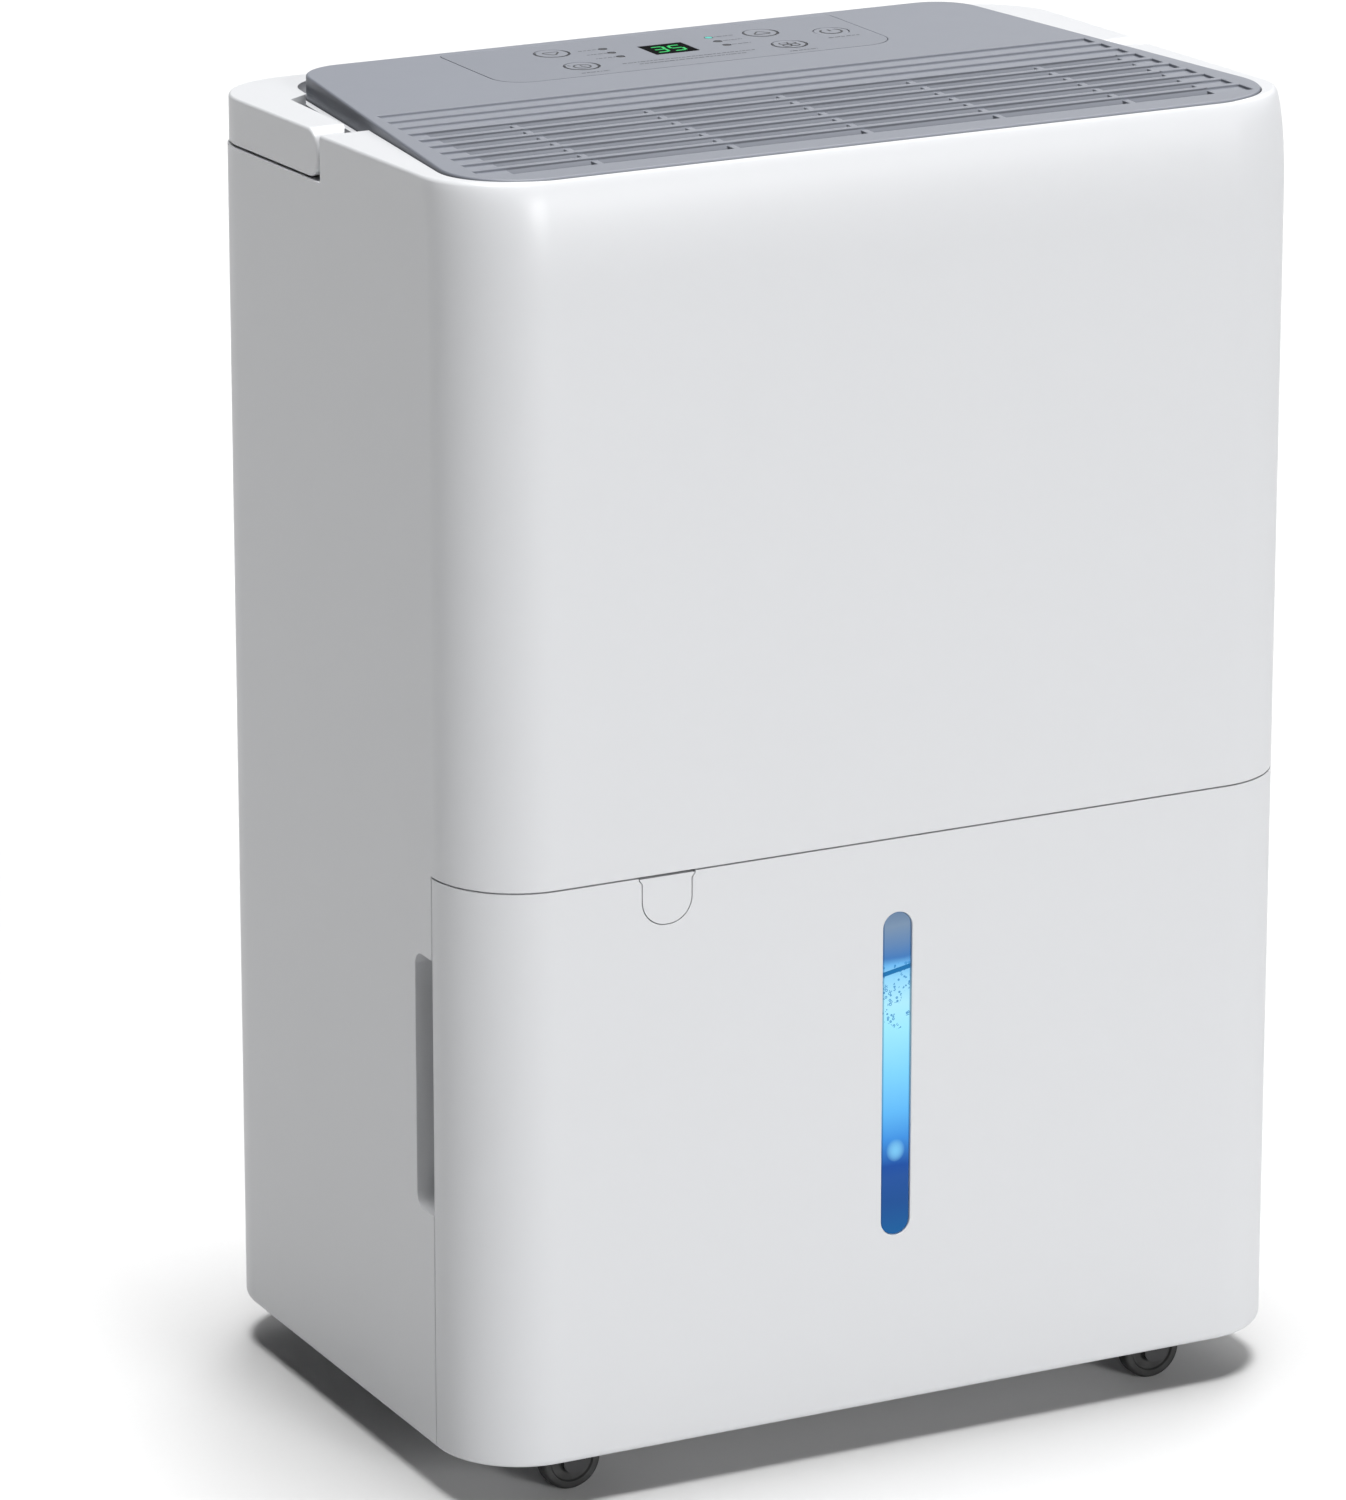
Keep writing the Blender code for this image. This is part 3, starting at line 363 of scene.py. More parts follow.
@dataclass(frozen=True)
class CircuitBoard:
    """Solder mask over copper tracks, drawn as stepped cells."""

    name: str
    mask: Colour
    track: Colour

    def build(self) -> bpy.types.Material:
        """Make the material."""
        graph = Graph(self.name)
        cells = graph.node("ShaderNodeTexVoronoi", distance="MANHATTAN", feature="F1")
        graph.feed(cells.inputs["Vector"], graph.coords)
        graph.feed(cells.inputs["Scale"], 160.0)
        lines = graph.maths("LESS_THAN", graph.maths("FRACT", graph.maths("MULTIPLY", cells.outputs[0], 5.0)), 0.25)
        return graph.surface(
            Base_Color=graph.mix(lines, self.mask, self.track),
            Roughness=graph.spread(graph.noise(200.0), 0.3, 0.5),
            Normal=graph.bump(lines, 0.3, 0.0001),
        )


@dataclass(frozen=True)
class Glow:
    """A lit or unlit lamp or display stroke behind clear plastic."""

    name: str
    colour: Colour
    strength: float

    def build(self) -> bpy.types.Material:
        """Make the material."""
        graph = Graph(self.name)
        uneven = graph.spread(graph.noise(900.0, 2.0), 0.85 * self.strength, 1.15 * self.strength)
        return graph.surface(
            Base_Color=tuple(channel * 0.4 for channel in self.colour),
            Emission_Color=self.colour,
            Emission_Strength=uneven,
            Roughness=0.3,
        )


@dataclass(frozen=True)
class WaterWindow:
    """Clear window with water behind it: air at the top, a slanted surface, bubbles, darker blue towards the bottom,
    and a bright band of painted light in the middle; the window gives off its colour as painted light, though it is no
    lamp, with a painted highlight spot and painted shade along its two sides.
    """

    name: str
    low: float
    high: float
    surface_height: float

    def build(self) -> bpy.types.Material:
        """Make the material."""
        graph = Graph(self.name)
        split = graph.node("ShaderNodeSeparateXYZ")
        graph.feed(split.inputs[0], graph.coords)
        reach = (self.high - self.low) * MM
        height = graph.maths("DIVIDE", graph.maths("SUBTRACT", split.outputs["Z"], self.low * MM), reach)
        wave = graph.maths("MULTIPLY", graph.noise(140.0, 2.0), 0.012)
        # Painted light: the ramp is bright in the middle of the water and darker blue towards the bottom.
        colour = graph.ramp(
            graph.maths("ADD", height, graph.maths("SUBTRACT", wave, 0.006)),
            [
                (0.00, (0.012, 0.115, 0.33)),
                (0.10, (0.016, 0.085, 0.30)),
                (0.18, (0.020, 0.090, 0.34)),
                (0.215, (0.014, 0.080, 0.36)),
                (0.30, (0.055, 0.290, 0.76)),
                (0.38, (0.120, 0.480, 0.92)),
                (0.50, (0.210, 0.650, 0.98)),
                (0.64, (0.340, 0.800, 1.00)),
                (0.72, (0.420, 0.820, 0.98)),
                (0.80, (0.300, 0.680, 0.95)),
                (0.84, (0.160, 0.480, 0.86)),
                (0.862, (0.060, 0.200, 0.50)),
                (0.90, (0.120, 0.240, 0.46)),
                (0.96, (0.200, 0.290, 0.42)),
                (1.00, (0.150, 0.230, 0.36)),
            ],
        )
        # Painted highlight: a lighter oval spot on the water, about a quarter of the way up the window.
        glint = graph.maths("SUBTRACT", height, 0.262)
        spot = graph.maths("ADD", graph.maths("POWER", graph.maths("DIVIDE", glint, 0.036), 2.0),
                           graph.maths("POWER", graph.maths("DIVIDE", split.outputs["X"], 4.4 * MM), 2.0))
        painted_highlight = graph.maths("SUBTRACT", 1.0, spot, clamp=True)
        colour = graph.mix(painted_highlight, colour, (0.20, 0.56, 0.88))
        bubbles = self._bubbles(graph, height)
        colour = graph.mix(bubbles, colour, (0.012, 0.20, 0.52))
        slant = graph.maths("ADD", height, graph.maths("MULTIPLY", split.outputs["X"], -1.3))
        off_line = graph.maths("ABSOLUTE", graph.maths("SUBTRACT", slant, self.surface_height))
        line = graph.maths("LESS_THAN", off_line, 0.007)
        colour = graph.mix(line, colour, (0.015, 0.17, 0.42))
        # Painted shade: the window darkens towards deep blue along its two sides.
        edge = graph.maths("GREATER_THAN", graph.maths("ABSOLUTE", split.outputs["X"]), 5.9 * MM)
        colour = graph.mix(graph.maths("MULTIPLY", edge, 0.45), colour, (0.02, 0.08, 0.20))
        return graph.surface(
            Base_Color=graph.mix(0.92, colour, (0.0, 0.0, 0.0)),
            # Painted light: the window gives off its own colour, though it is no lamp.
            Emission_Color=colour,
            Emission_Strength=0.95,
            Roughness=graph.spread(graph.noise(80.0, 2.0), 0.10, 0.16),
            Specular_IOR_Level=0.08,
        )

    def _bubbles(self, graph: Graph, height: bpy.types.NodeSocket) -> bpy.types.NodeSocket:
        """Rims of small bubbles that thin out below the water's surface.

        Args:
            graph: the tree to add to.
            height: the share of the window's height.

        Returns:
            The factor of the bubbles' rims.
        """
        cells = graph.node("ShaderNodeTexVoronoi", feature="F1")
        graph.feed(cells.inputs["Vector"], graph.coords)
        graph.feed(cells.inputs["Scale"], 620.0)
        distance = cells.outputs["Distance"]
        rim = graph.maths("LESS_THAN", graph.maths("ABSOLUTE", graph.maths("SUBTRACT", distance, 0.30)), 0.10)
        some = graph.maths("GREATER_THAN", graph.noise(190.0, 1.0), graph.spread(height, 1.02, 0.32))
        below = graph.maths("LESS_THAN", height, self.surface_height + 0.022)
        above = graph.maths("GREATER_THAN", height, 0.64)
        shown = graph.maths("MULTIPLY", graph.maths("MULTIPLY", some, below), above)
        return graph.maths("MULTIPLY", graph.maths("MULTIPLY", rim, shown), 0.75)


class Finishes:
    """Every finish of the machine, built once and found by its record slot or its own name."""

    def __init__(self) -> None:
        """Build each material."""
        kinds = [
            MouldedPlastic("white_plastic", (0.582, 0.590, 0.606), 0.40, 0.02, 2600.0, 0.006),
            MouldedPlastic("grey_plastic", (0.196, 0.208, 0.240), 0.46, 0.06, 2200.0, 0.02),
            MouldedPlastic("overlay_film", (0.196, 0.208, 0.240), 0.42, 0.03, 3200.0, 0.01),
            MouldedPlastic("dark_plastic", (0.020, 0.020, 0.022), 0.42, 0.25, 1800.0, 0.2),
            MouldedPlastic("inner_plastic", (0.22, 0.23, 0.25), 0.55, 0.25, 1500.0, 0.06),
            MouldedPlastic("bucket_plastic", (0.62, 0.65, 0.68), 0.38, 0.15, 1500.0, 0.05),
            MouldedPlastic("clear_plastic", (0.55, 0.62, 0.66), 0.15, 0.05, 1200.0, 0.02, 0.5),
            MouldedPlastic("display_glass", (0.004, 0.005, 0.006), 0.10, 0.02, 900.0, 0.3, 1.0),
            MouldedPlastic("print_dark", (0.012, 0.014, 0.018), 0.5, 0.10, 3000.0, 0.1),
            Rubber("soft_rubber", (0.012, 0.012, 0.012)),
            # The filter's second colour is painted shade in the open gaps of the weave.
            FilterMesh("filter_fabric", (0.13, 0.14, 0.15), (0.015, 0.016, 0.018)),
            BareMetal("sheet_aluminium", (0.78, 0.79, 0.80), 0.34),
            BareMetal("pipe_copper", (0.72, 0.38, 0.24), 0.30),
            BareMetal("zinc_steel", (0.60, 0.61, 0.62), 0.30),
            Enamel("black_enamel", (0.015, 0.015, 0.016)),
            CircuitBoard("board_green", (0.02, 0.13, 0.05), (0.05, 0.24, 0.09)),
            Glow("digit_green", (0.02, 0.42, 0.10), 1.0),
            Glow("lamp_teal", (0.08, 0.50, 0.42), 0.9),
            WaterWindow("water_window", 94.0, 234.7, 0.822),
        ]
        self.materials: dict[str, bpy.types.Material] = {kind.name: kind.build() for kind in kinds}

    def __getitem__(self, name: str) -> bpy.types.Material:
        """The material of this name."""
        return self.materials[name]


# ---------------------------------------------------------------- surfaces


def rounded_outline(corners: Sequence[tuple[float, float]], radii: Sequence[float], steps: int) -> Array:
    """Closed outline with an arc at each corner that touches both of its sides.

    An arc's centre lies on the corner's bisector, at the radius divided by the sine of half the corner's angle.

    Args:
        corners: the corners, counter-clockwise.
        radii: the arc's radius at each corner.
        steps: segments in each arc.

    Returns:
        Points of the outline, one row each.
    """
    here = np.asarray(corners, float)
    radius = np.asarray(radii, float)[:, None]
    back = np.roll(here, 1, axis=0) - here
    ahead = np.roll(here, -1, axis=0) - here
    back /= np.linalg.norm(back, axis=1, keepdims=True)
    ahead /= np.linalg.norm(ahead, axis=1, keepdims=True)
    half = np.arccos(np.clip((back * ahead).sum(axis=1, keepdims=True), -1.0, 1.0)) / 2.0
    bisector = back + ahead
    bisector /= np.linalg.norm(bisector, axis=1, keepdims=True)
    centre = here + bisector * radius / np.sin(half)
    start = here + back * radius / np.tan(half) - centre
    end = here + ahead * radius / np.tan(half) - centre
    first = np.arctan2(start[:, 1], start[:, 0])
    turn = (np.arctan2(end[:, 1], end[:, 0]) - first + math.pi) % (2.0 * math.pi) - math.pi
    angles = first[:, None] + turn[:, None] * np.linspace(0.0, 1.0, steps + 1)
    arcs = np.stack([np.cos(angles), np.sin(angles)], axis=-1) * radius[:, :, None]
    return (centre[:, None, :] + arcs).reshape(-1, 2)


def rectangle(x_low: float, x_high: float, y_low: float, y_high: float, radius: float = 0.0, steps: int = 8) -> Array:
    """Outline of a rectangle, rounded if it has a radius."""
    corners = [(x_high, y_low), (x_high, y_high), (x_low, y_high), (x_low, y_low)]
    if radius <= 0.0:
        return np.asarray(corners, float)
    return rounded_outline(corners, [radius] * 4, steps)


def circle(x: float, y: float, radius: float, steps: int = 48) -> Array:
    """Outline of a circle: the centre plus the radius times cosine and sine of equal angles."""
    angles = np.linspace(0.0, 2.0 * math.pi, steps, endpoint=False)
    return np.stack([x + radius * np.cos(angles), y + radius * np.sin(angles)], axis=-1)


def level(outline: Array, height: float | Callable[[Array], Array]) -> Array:
    """Lay an outline at a height.

    Args:
        outline: points in X and Y.
        height: a number, or a function of Y.

    Returns:
        Points in X, Y and Z.
    """
    z = height(outline[:, 1]) if callable(height) else np.full(len(outline), float(height))
    return np.column_stack([outline, z])


def make_object(name: str, points: Array, faces: Sequence[Sequence[int]],
                smooth_angle: float = SMOOTH_ANGLE) -> bpy.types.Object:
    """Make an object of points in millimetres, with its faces pointing out.

    Args:
        name: the object's name.
        points: one row per vertex.
        faces: vertex indices of each face.
        smooth_angle: edges sharper than this many degrees stay crisp.

    Returns:
        The object, linked to the scene.
    """
    mesh = bpy.data.meshes.new(name)
    mesh.from_pydata((np.asarray(points) * MM).tolist(), [], faces)
    work = bmesh.new()
    work.from_mesh(mesh)
    bmesh.ops.recalc_face_normals(work, faces=work.faces)
    work.to_mesh(mesh)
    work.free()
    made = bpy.data.objects.new(name, mesh)
    bpy.context.scene.collection.objects.link(made)
    shade(made, smooth_angle)
    return made


def shade(piece: bpy.types.Object, smooth_angle: float = SMOOTH_ANGLE) -> None:
    """Shade a piece smooth, with crisp edges above an angle in degrees."""
    piece.data.shade_smooth()
    piece.data.set_sharp_from_angle(angle=math.radians(smooth_angle))


def loft_parts(rings: Array, start: int = 0) -> tuple[Array, list[list[int]]]:
    """Points and faces of a closed solid through rings of equal length.

    Point (i, j) is point j of ring i. Each square joins point j and j + 1 of one ring to those of the next.

    Args:
        rings: shape (rings, points, 3).
        start: the first vertex's index.

    Returns:
        The points, and the faces with both end caps.
    """
    count, size = rings.shape[:2]
    index = np.arange(count * size).reshape(count, size) + start
    low, high = index[:-1], index[1:]
    squares = np.stack([low, np.roll(low, -1, 1), np.roll(high, -1, 1), high], axis=-1).reshape(-1, 4)
    faces = squares.tolist()
    faces.append(index[0, ::-1].tolist())
    faces.append(index[-1].tolist())
    return rings.reshape(-1, 3), faces


def loft(name: str, rings: Sequence[Array], smooth_angle: float = SMOOTH_ANGLE) -> bpy.types.Object:
    """Closed solid through rings of equal length, as loft_parts lays it out."""
    points, faces = loft_parts(np.stack(rings))
    return make_object(name, points, faces, smooth_angle)


def prism(name: str, outline: Array, low: object, high: object) -> bpy.types.Object:
    """Carry an outline in X and Y from one height to another."""
    return loft(name, [level(outline, low), level(outline, high)])


def extrude(name: str, outline: Array, axis: Axis, low: float, high: float) -> bpy.types.Object:
    """Carry an outline of the other two coordinates along X or Y."""
    rings = [np.insert(outline, axis.value, along, axis=1) for along in (low, high)]
    return loft(name, rings)


def boxes(name: str, lows: Array, highs: Array) -> bpy.types.Object:
    """Separate boxes in one mesh: corner (i, j, k) takes the low or high bound on each axis.

    Args:
        name: the object's name.
        lows: lowest corners, one row each.
        highs: highest corners, one row each.

    Returns:
        The object.
    """
    lows = np.atleast_2d(lows)
    highs = np.atleast_2d(highs)
    pick = np.array([[0, 0, 0], [1, 0, 0], [1, 1, 0], [0, 1, 0], [0, 0, 1], [1, 0, 1], [1, 1, 1], [0, 1, 1]])
    points = np.where(pick[None] == 0, lows[:, None, :], highs[:, None, :]).reshape(-1, 3)
    sides = np.array([[0, 3, 2, 1], [4, 5, 6, 7], [0, 1, 5, 4], [1, 2, 6, 5], [2, 3, 7, 6], [3, 0, 4, 7]])
    faces = (sides[None] + 8 * np.arange(len(lows))[:, None, None]).reshape(-1, 4)
    return make_object(name, points, faces.tolist())


def turned(name: str, profile: Array, centre: Sequence[float], axis: Axis, steps: int = 48) -> bpy.types.Object:
    """Solid of revolution: each profile row (radius, distance) becomes a circle that far along the axis.

    Args:
        name: the object's name.
        profile: radius and distance along the axis, one row each.
        centre: the point of the axis that distances start from.
        axis: the axis of revolution.
        steps: points in each circle.

    Returns:
        The object.
    """
    angles = np.linspace(0.0, 2.0 * math.pi, steps, endpoint=False)
    profile = np.asarray(profile, float)
    first = profile[:, :1] * np.cos(angles)
    second = profile[:, :1] * np.sin(angles)
    along = np.broadcast_to(profile[:, 1:], first.shape)
    order = {Axis.X: (along, first, second), Axis.Y: (first, along, second), Axis.Z: (first, second, along)}
    rings = np.stack(order[axis], axis=-1) + np.asarray(centre, float)
    return loft(name, rings)


def fillet(radius: float, steps: int) -> tuple[Array, Array]:
    """Inset and drop of a quarter round, from its side to its top.

    The inset is the radius times one minus the cosine, and the drop the radius times one minus the sine.
    """
    angles = np.linspace(0.0, math.pi / 2.0, steps + 1)
    return radius * (1.0 - np.cos(angles)), radius * (1.0 - np.sin(angles))


def soft_profile(radius: float, low: float, high: float, edge: float, steps: int = 5) -> Array:
    """Profile of a disc whose two rims are rounded, for turned()."""
    inset, drop = fillet(edge, steps)
    upper = np.column_stack([radius - inset, high - drop])
    lower = np.column_stack([radius - inset, low + drop])[::-1]
    return np.vstack([lower, upper])


def carve(target: bpy.types.Object, others: Sequence[bpy.types.Object], operation: str = "DIFFERENCE",
          smooth_angle: float = SMOOTH_ANGLE) -> bpy.types.Object:
    """Combine a piece with other shapes, store the result as its mesh, and remove the other shapes.

    Args:
        target: the piece that is kept.
        others: the shapes to take away, add or keep inside.
        operation: DIFFERENCE, UNION or INTERSECT.
        smooth_angle: edges sharper than this many degrees stay crisp.

    Returns:
        The target.
    """
    for other in others:
        modifier = target.modifiers.new(other.name, "BOOLEAN")
        modifier.operation = operation
        modifier.solver = "EXACT"
        modifier.object = other
    graph = bpy.context.evaluated_depsgraph_get()
    result = bpy.data.meshes.new_from_object(target.evaluated_get(graph))
    old = target.data
    target.modifiers.clear()
    target.data = result
    name = old.name
    bpy.data.meshes.remove(old)
    result.name = name
    for other in others:
        mesh = other.data
        bpy.data.objects.remove(other)
        bpy.data.meshes.remove(mesh)
    shade(target, smooth_angle)
    return target


def ribbon(line: Array, width: float, closed: bool = False) -> tuple[Array, list[list[int]]]:
    """Flat band along a line: each point moves half the width to either side, along the bisector of its corner.

    Args:
        line: points in X and Y.
        width: the band's width.
        closed: whether the last point joins the first.

    Returns:
        Points in X and Y, and the faces.
    """
    line = np.asarray(line, float)
    ahead = np.roll(line, -1, 0) - line
    behind = line - np.roll(line, 1, 0)
    if not closed:
        ahead[-1] = behind[-1]
        behind[0] = ahead[0]
    ahead /= np.linalg.norm(ahead, axis=1, keepdims=True)
    behind /= np.linalg.norm(behind, axis=1, keepdims=True)
    tangent = ahead + behind
    tangent /= np.linalg.norm(tangent, axis=1, keepdims=True)
    normal = np.column_stack([-tangent[:, 1], tangent[:, 0]])
    stretch = 1.0 / np.maximum((tangent * ahead).sum(axis=1, keepdims=True), 0.45)
    offset = normal * stretch * width / 2.0
    count = len(line)
    first = np.arange(count if closed else count - 1)
    second = (first + 1) % count
    faces = np.stack([first, second, second + count, first + count], axis=-1)
    return np.vstack([line - offset, line + offset]), faces.tolist()


def arc(x: float, y: float, radius: float, first: float, last: float, steps: int = 32) -> Array:
    """Part of a circle, between two angles in degrees."""
    angles = np.radians(np.linspace(first, last, steps + 1))
    return np.stack([x + radius * np.cos(angles), y + radius * np.sin(angles)], axis=-1)


def title_of(label: str) -> str:
    """A label such as front_left as one capitalised word."""
    return "".join(word.title() for word in label.split("_"))


class Workshop:
    """Gives finished pieces their finish, body and stand-in, and reports them."""

    def __init__(self, finishes: Finishes) -> None:
        """Keep the finishes.

        Args:
            finishes: every material.
        """
        self.finishes = finishes
        self.replaced: set[str] = set()

    def deliver(self, piece: bpy.types.Object, finish: str, body: str,
                nodes: Sequence[str] = (), bevel: float = 0.0) -> bpy.types.Object:
        """Dress a piece and hang it on its body.

        Args:
            piece: the object.
            finish: its material's name.
            body: the body of the mechanical model that it rides on.
            nodes: the mechanical nodes that it stands for.
            bevel: width of softened edges, or 0.

        Returns:
            The piece.
        """
        piece.data.materials.clear()
        piece.data.materials.append(self.finishes[finish])
        if bevel:
            softened = piece.modifiers.new("edges", "BEVEL")
            softened.width = bevel * MM
            softened.segments = 2
            softened.limit_method = "ANGLE"
            softened.angle_limit = math.radians(40)
            softened.use_clamp_overlap = False
        weighted = piece.modifiers.new("normals", "WEIGHTED_NORMAL")
        weighted.keep_sharp = True
        weighted.weight = 100
        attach(piece, body)
        if nodes:
            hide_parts(*nodes)
            self.replaced.update(nodes)
        LOG.info("%s: %d faces", piece.name, len(piece.data.polygons))
        return piece


# ---------------------------------------------------------------- the cabinet's form


@dataclass(frozen=True)
class CabinetForm:
    """Sizes and curves that the casing, bucket front, handle and panel share."""

    width: float = 386.0
    depth: float = 261.0
    corner: float = 37.5
    wall: float = 2.8
    base_z: float = 19.3
    base_round: float = 3.0
    seam_z: float = 267.3
    seam_gap: float = 0.6
    side_seam_y: float = -91.3
    deck_y: float = 8.0
    deck_z: float = 552.3
    deck_slope: float = -0.038
    roll_height: float = 38.0
    roll_depth: float = 9.5
    roll_steps: int = 16
    rim_round: float = 1.3
    rim_steps: int = 4
    corner_steps: int = 20

    def deck(self, y: Array) -> Array:
        """Height of the deck, which rises in a straight line towards the front."""
        return self.deck_z + self.deck_slope * (y - self.deck_y)

    def plan(self, inset: float, front_inset: float = 0.0) -> Array:
        """Rounded rectangle of the cabinet's plan, moved in by inset, and its front edge by front_inset as well."""
        half = self.width / 2 - inset
        front = -self.depth / 2 + inset + front_inset
        rear = self.depth / 2 - inset
        corners = [(half, front), (half, rear), (-half, rear), (-half, front)]
        return rounded_outline(corners, [self.corner - inset] * 4, self.corner_steps)

    def ring(self, inset: float, z: float, front_inset: float = 0.0, tilt: float = 0.0) -> Array:
        """The plan at a height, tilted with the deck by the share tilt."""
        outline = self.plan(inset, front_inset)
        return np.column_stack([outline, z + tilt * self.deck_slope * (outline[:, 1] - self.deck_y)])

    def rings(self, inset: float, drop: float) -> list[Array]:
        """Rings of the outer form, moved in by inset and down by drop at the top.

        The front rolls over in a quarter ellipse: its inset is the roll's depth times one minus the cosine, and its
        drop the roll's height times one minus the sine. The last few rings round the side edges as well.

        Args:
            inset: how far each side moves in.
            drop: how far the top moves down.

        Returns:
            The rings, from the base up.
        """
        inward, lift = fillet(self.base_round, 5)
        made = [self.ring(inset + i, self.base_z + z) for i, z in zip(inward[::-1] * 0.8, lift[::-1])]
        made.append(self.ring(inset, self.seam_z))
        top = self.deck_z - drop
        limit = math.asin(1.0 - self.rim_round / self.roll_height)
        for angle in np.linspace(0.0, limit, self.roll_steps):
            fall = self.roll_height * (1.0 - math.sin(angle))
            made.append(self.ring(inset, top - fall, self.roll_depth * (1.0 - math.cos(angle)), math.sin(angle)))
        inward, fall = fillet(self.rim_round, self.rim_steps)
        for side_inset, down in zip(inward[1:], fall[1:]):
            rise = 1.0 - down / self.roll_height
            front = self.roll_depth * (1.0 - math.sqrt(max(0.0, 1.0 - rise**2)))
            made.append(self.ring(inset + side_inset, top - down, front - side_inset * 0.5, rise))
        return made


@dataclass(frozen=True)
class PanelForm:
    """Plan and height of the louvred top panel, wider at the front than at the back."""

    front: float = -121.3
    rear: float = 115.2
    half_front: float = 188.8
    half_rear: float = 155.3
    round_front: float = 32.0
    round_rear: float = 21.0
    top_front: float = 557.7
    top_rear: float = 555.1
    gap: float = 0.5
    steps: int = 18

    def outline(self, grow: float) -> Array:
        """The plan, moved out by grow."""
        corners = [
            (self.half_front + grow, self.front - grow),
            (self.half_rear + grow, self.rear + grow),
            (-self.half_rear - grow, self.rear + grow),
            (-self.half_front - grow, self.front - grow),
        ]
        front = self.round_front + grow
        rear = self.round_rear + grow
        return rounded_outline(corners, [front, rear, rear, front], self.steps)

    def share(self, y: Array) -> Array:
        """How far y is from the panel's front edge to its rear edge, from 0 to 1."""
        return (y - self.front) / (self.rear - self.front)

    def half(self, y: Array) -> Array:
        """Half the panel's width at y."""
        return self.half_front + (self.half_rear - self.half_front) * self.share(y)

    def top(self, y: Array) -> Array:
        """Height of the panel's face at y."""
        return self.top_front + (self.top_rear - self.top_front) * self.share(y)


@dataclass
class HandleBay:
    """The step round the back of the top that the handle lies in."""

    form: CabinetForm
    panel: PanelForm
    notch_y: float = 8.5
    pivot_y: float = 22.0
    pivot_z: float = 542.85
    arm_half: float = 10.05
    slope: float = -0.036
    floor_gap: float = 0.7
    pin_bore: float = 3.25
    pin_end: float = 188.6
    pin_steps: int = 24

    def floor(self, y: Array) -> Array:
        """Height of the step's floor."""
        return self.pivot_z - self.arm_half - self.floor_gap + self.slope * (y - self.pivot_y)

    def shape(self, name: str, front: float, drop: float, grow: float, core_top: object) -> bpy.types.Object:
        """The open space of the step, with the panel's plan left standing.

        Args:
            name: the object's name.
            front: Y of the front wall.
            drop: how far below the floor it reaches.
            grow: how far outside the panel's plan the standing part reaches.
            core_top: height of the standing part.

        Returns:
            The space, as a solid to cut with.
        """
        reach = self.form.width / 2 + 10
        region = rectangle(-reach, reach, front, self.form.depth / 2 + 10)
        bay = prism(name, region, lambda y: self.floor(y) - drop, 620.0)
        return carve(bay, [prism(name + "_core", self.panel.outline(grow), 480.0, core_top)])

    def pin_holes(self, start: float) -> list[bpy.types.Object]:
        """Cutters for the bores of both pivot pins, from start out to the pins' ends.

        Args:
            start: distance of each cutter's inner end from the machine's middle.

        Returns:
            One cutter on each side.
        """
        bore = circle(self.pivot_y, self.pivot_z, self.pin_bore, self.pin_steps)
        made = []
        for side in Side:
            ends = sorted((side.value * start, side.value * self.pin_end))
            made.append(extrude(f"pin_{side.label}", bore, Axis.X, *ends))
        return made


# ---------------------------------------------------------------- sub-assemblies


@dataclass
class Casing:
    """The white shell: rolled front, finger grips, the handle's step, and openings for panel, bucket and back."""

    form: CabinetForm
    panel: PanelForm
    bay: HandleBay
    deck_thick: float = 3.0
    grip_low: float = 121.3
    grip_high: float = 231.3
    grip_rear: float = -75.3
    grip_depth: float = 12.0
    grip_round: float = 6.0
    grip_wall: float = 2.5
    ledge_drop: float = 3.5
    rear_half: float = 150.0
    rear_low: float = 56.0
    rear_high: float = 514.0
    pin_start: float = 160.0

    def grip(self, side: Side, grow: float) -> bpy.types.Object:
        """The finger pocket, open to the side and to the bucket front."""
        front = self.form.side_seam_y - 6
        low, high = self.grip_low - grow, self.grip_high + grow
        corners = [(front, low), (self.grip_rear + grow, low), (self.grip_rear + grow, high), (front, high)]
        radius = self.grip_round + grow
        outline = rounded_outline(corners, [1.0, radius, radius, 1.0], 8)
        inner = self.form.width / 2 - self.grip_depth - grow
        ends = sorted((side.value * inner, side.value * (self.form.width / 2 + 8)))
        return extrude(f"grip_{side.label}_{grow:.0f}", outline, Axis.X, *ends)

    def build(self, workshop: Workshop) -> None:
        """Make the casing."""
        form = self.form
        casing = loft("Casing", form.rings(0.0, 0.0))
        inner = form.rings(form.wall, self.deck_thick)
        inner[0][:, 2] -= 12.0
        cavity = loft("cavity", inner)
        bay_wall = self.bay.shape("bay_wall", self.bay.notch_y - 2.8, 2.8, self.panel.gap, 640.0)
        carve(cavity, [bay_wall, *[self.grip(side, self.grip_wall) for side in Side]])
        carve(casing, [cavity])
        ledge = self.panel.gap + 2.5
        bay = self.bay.shape("bay", self.bay.notch_y, 0.0, ledge, lambda y: form.deck(y) - self.ledge_drop)
        opening = prism("panel_opening", self.panel.outline(self.panel.gap), 500.0, 620.0)
        reach = form.width / 2 + 10
        bucket = boxes("bucket_opening", [[-reach, -form.depth, -5]], [[reach, form.side_seam_y, form.seam_z]])
        rear = rectangle(-self.rear_half, self.rear_half, self.rear_low, self.rear_high, 8.0)
        back = extrude("rear_opening", rear, Axis.Y, form.depth / 2 - 12, form.depth / 2 + 12)
        carve(casing, [bay, opening, bucket, back, *[self.grip(side, 0.0) for side in Side]])
        carve(casing, self.bay.pin_holes(self.pin_start))
        workshop.deliver(casing, "white_plastic", Body.CABINET.value, ["main_casing"], 0.25)


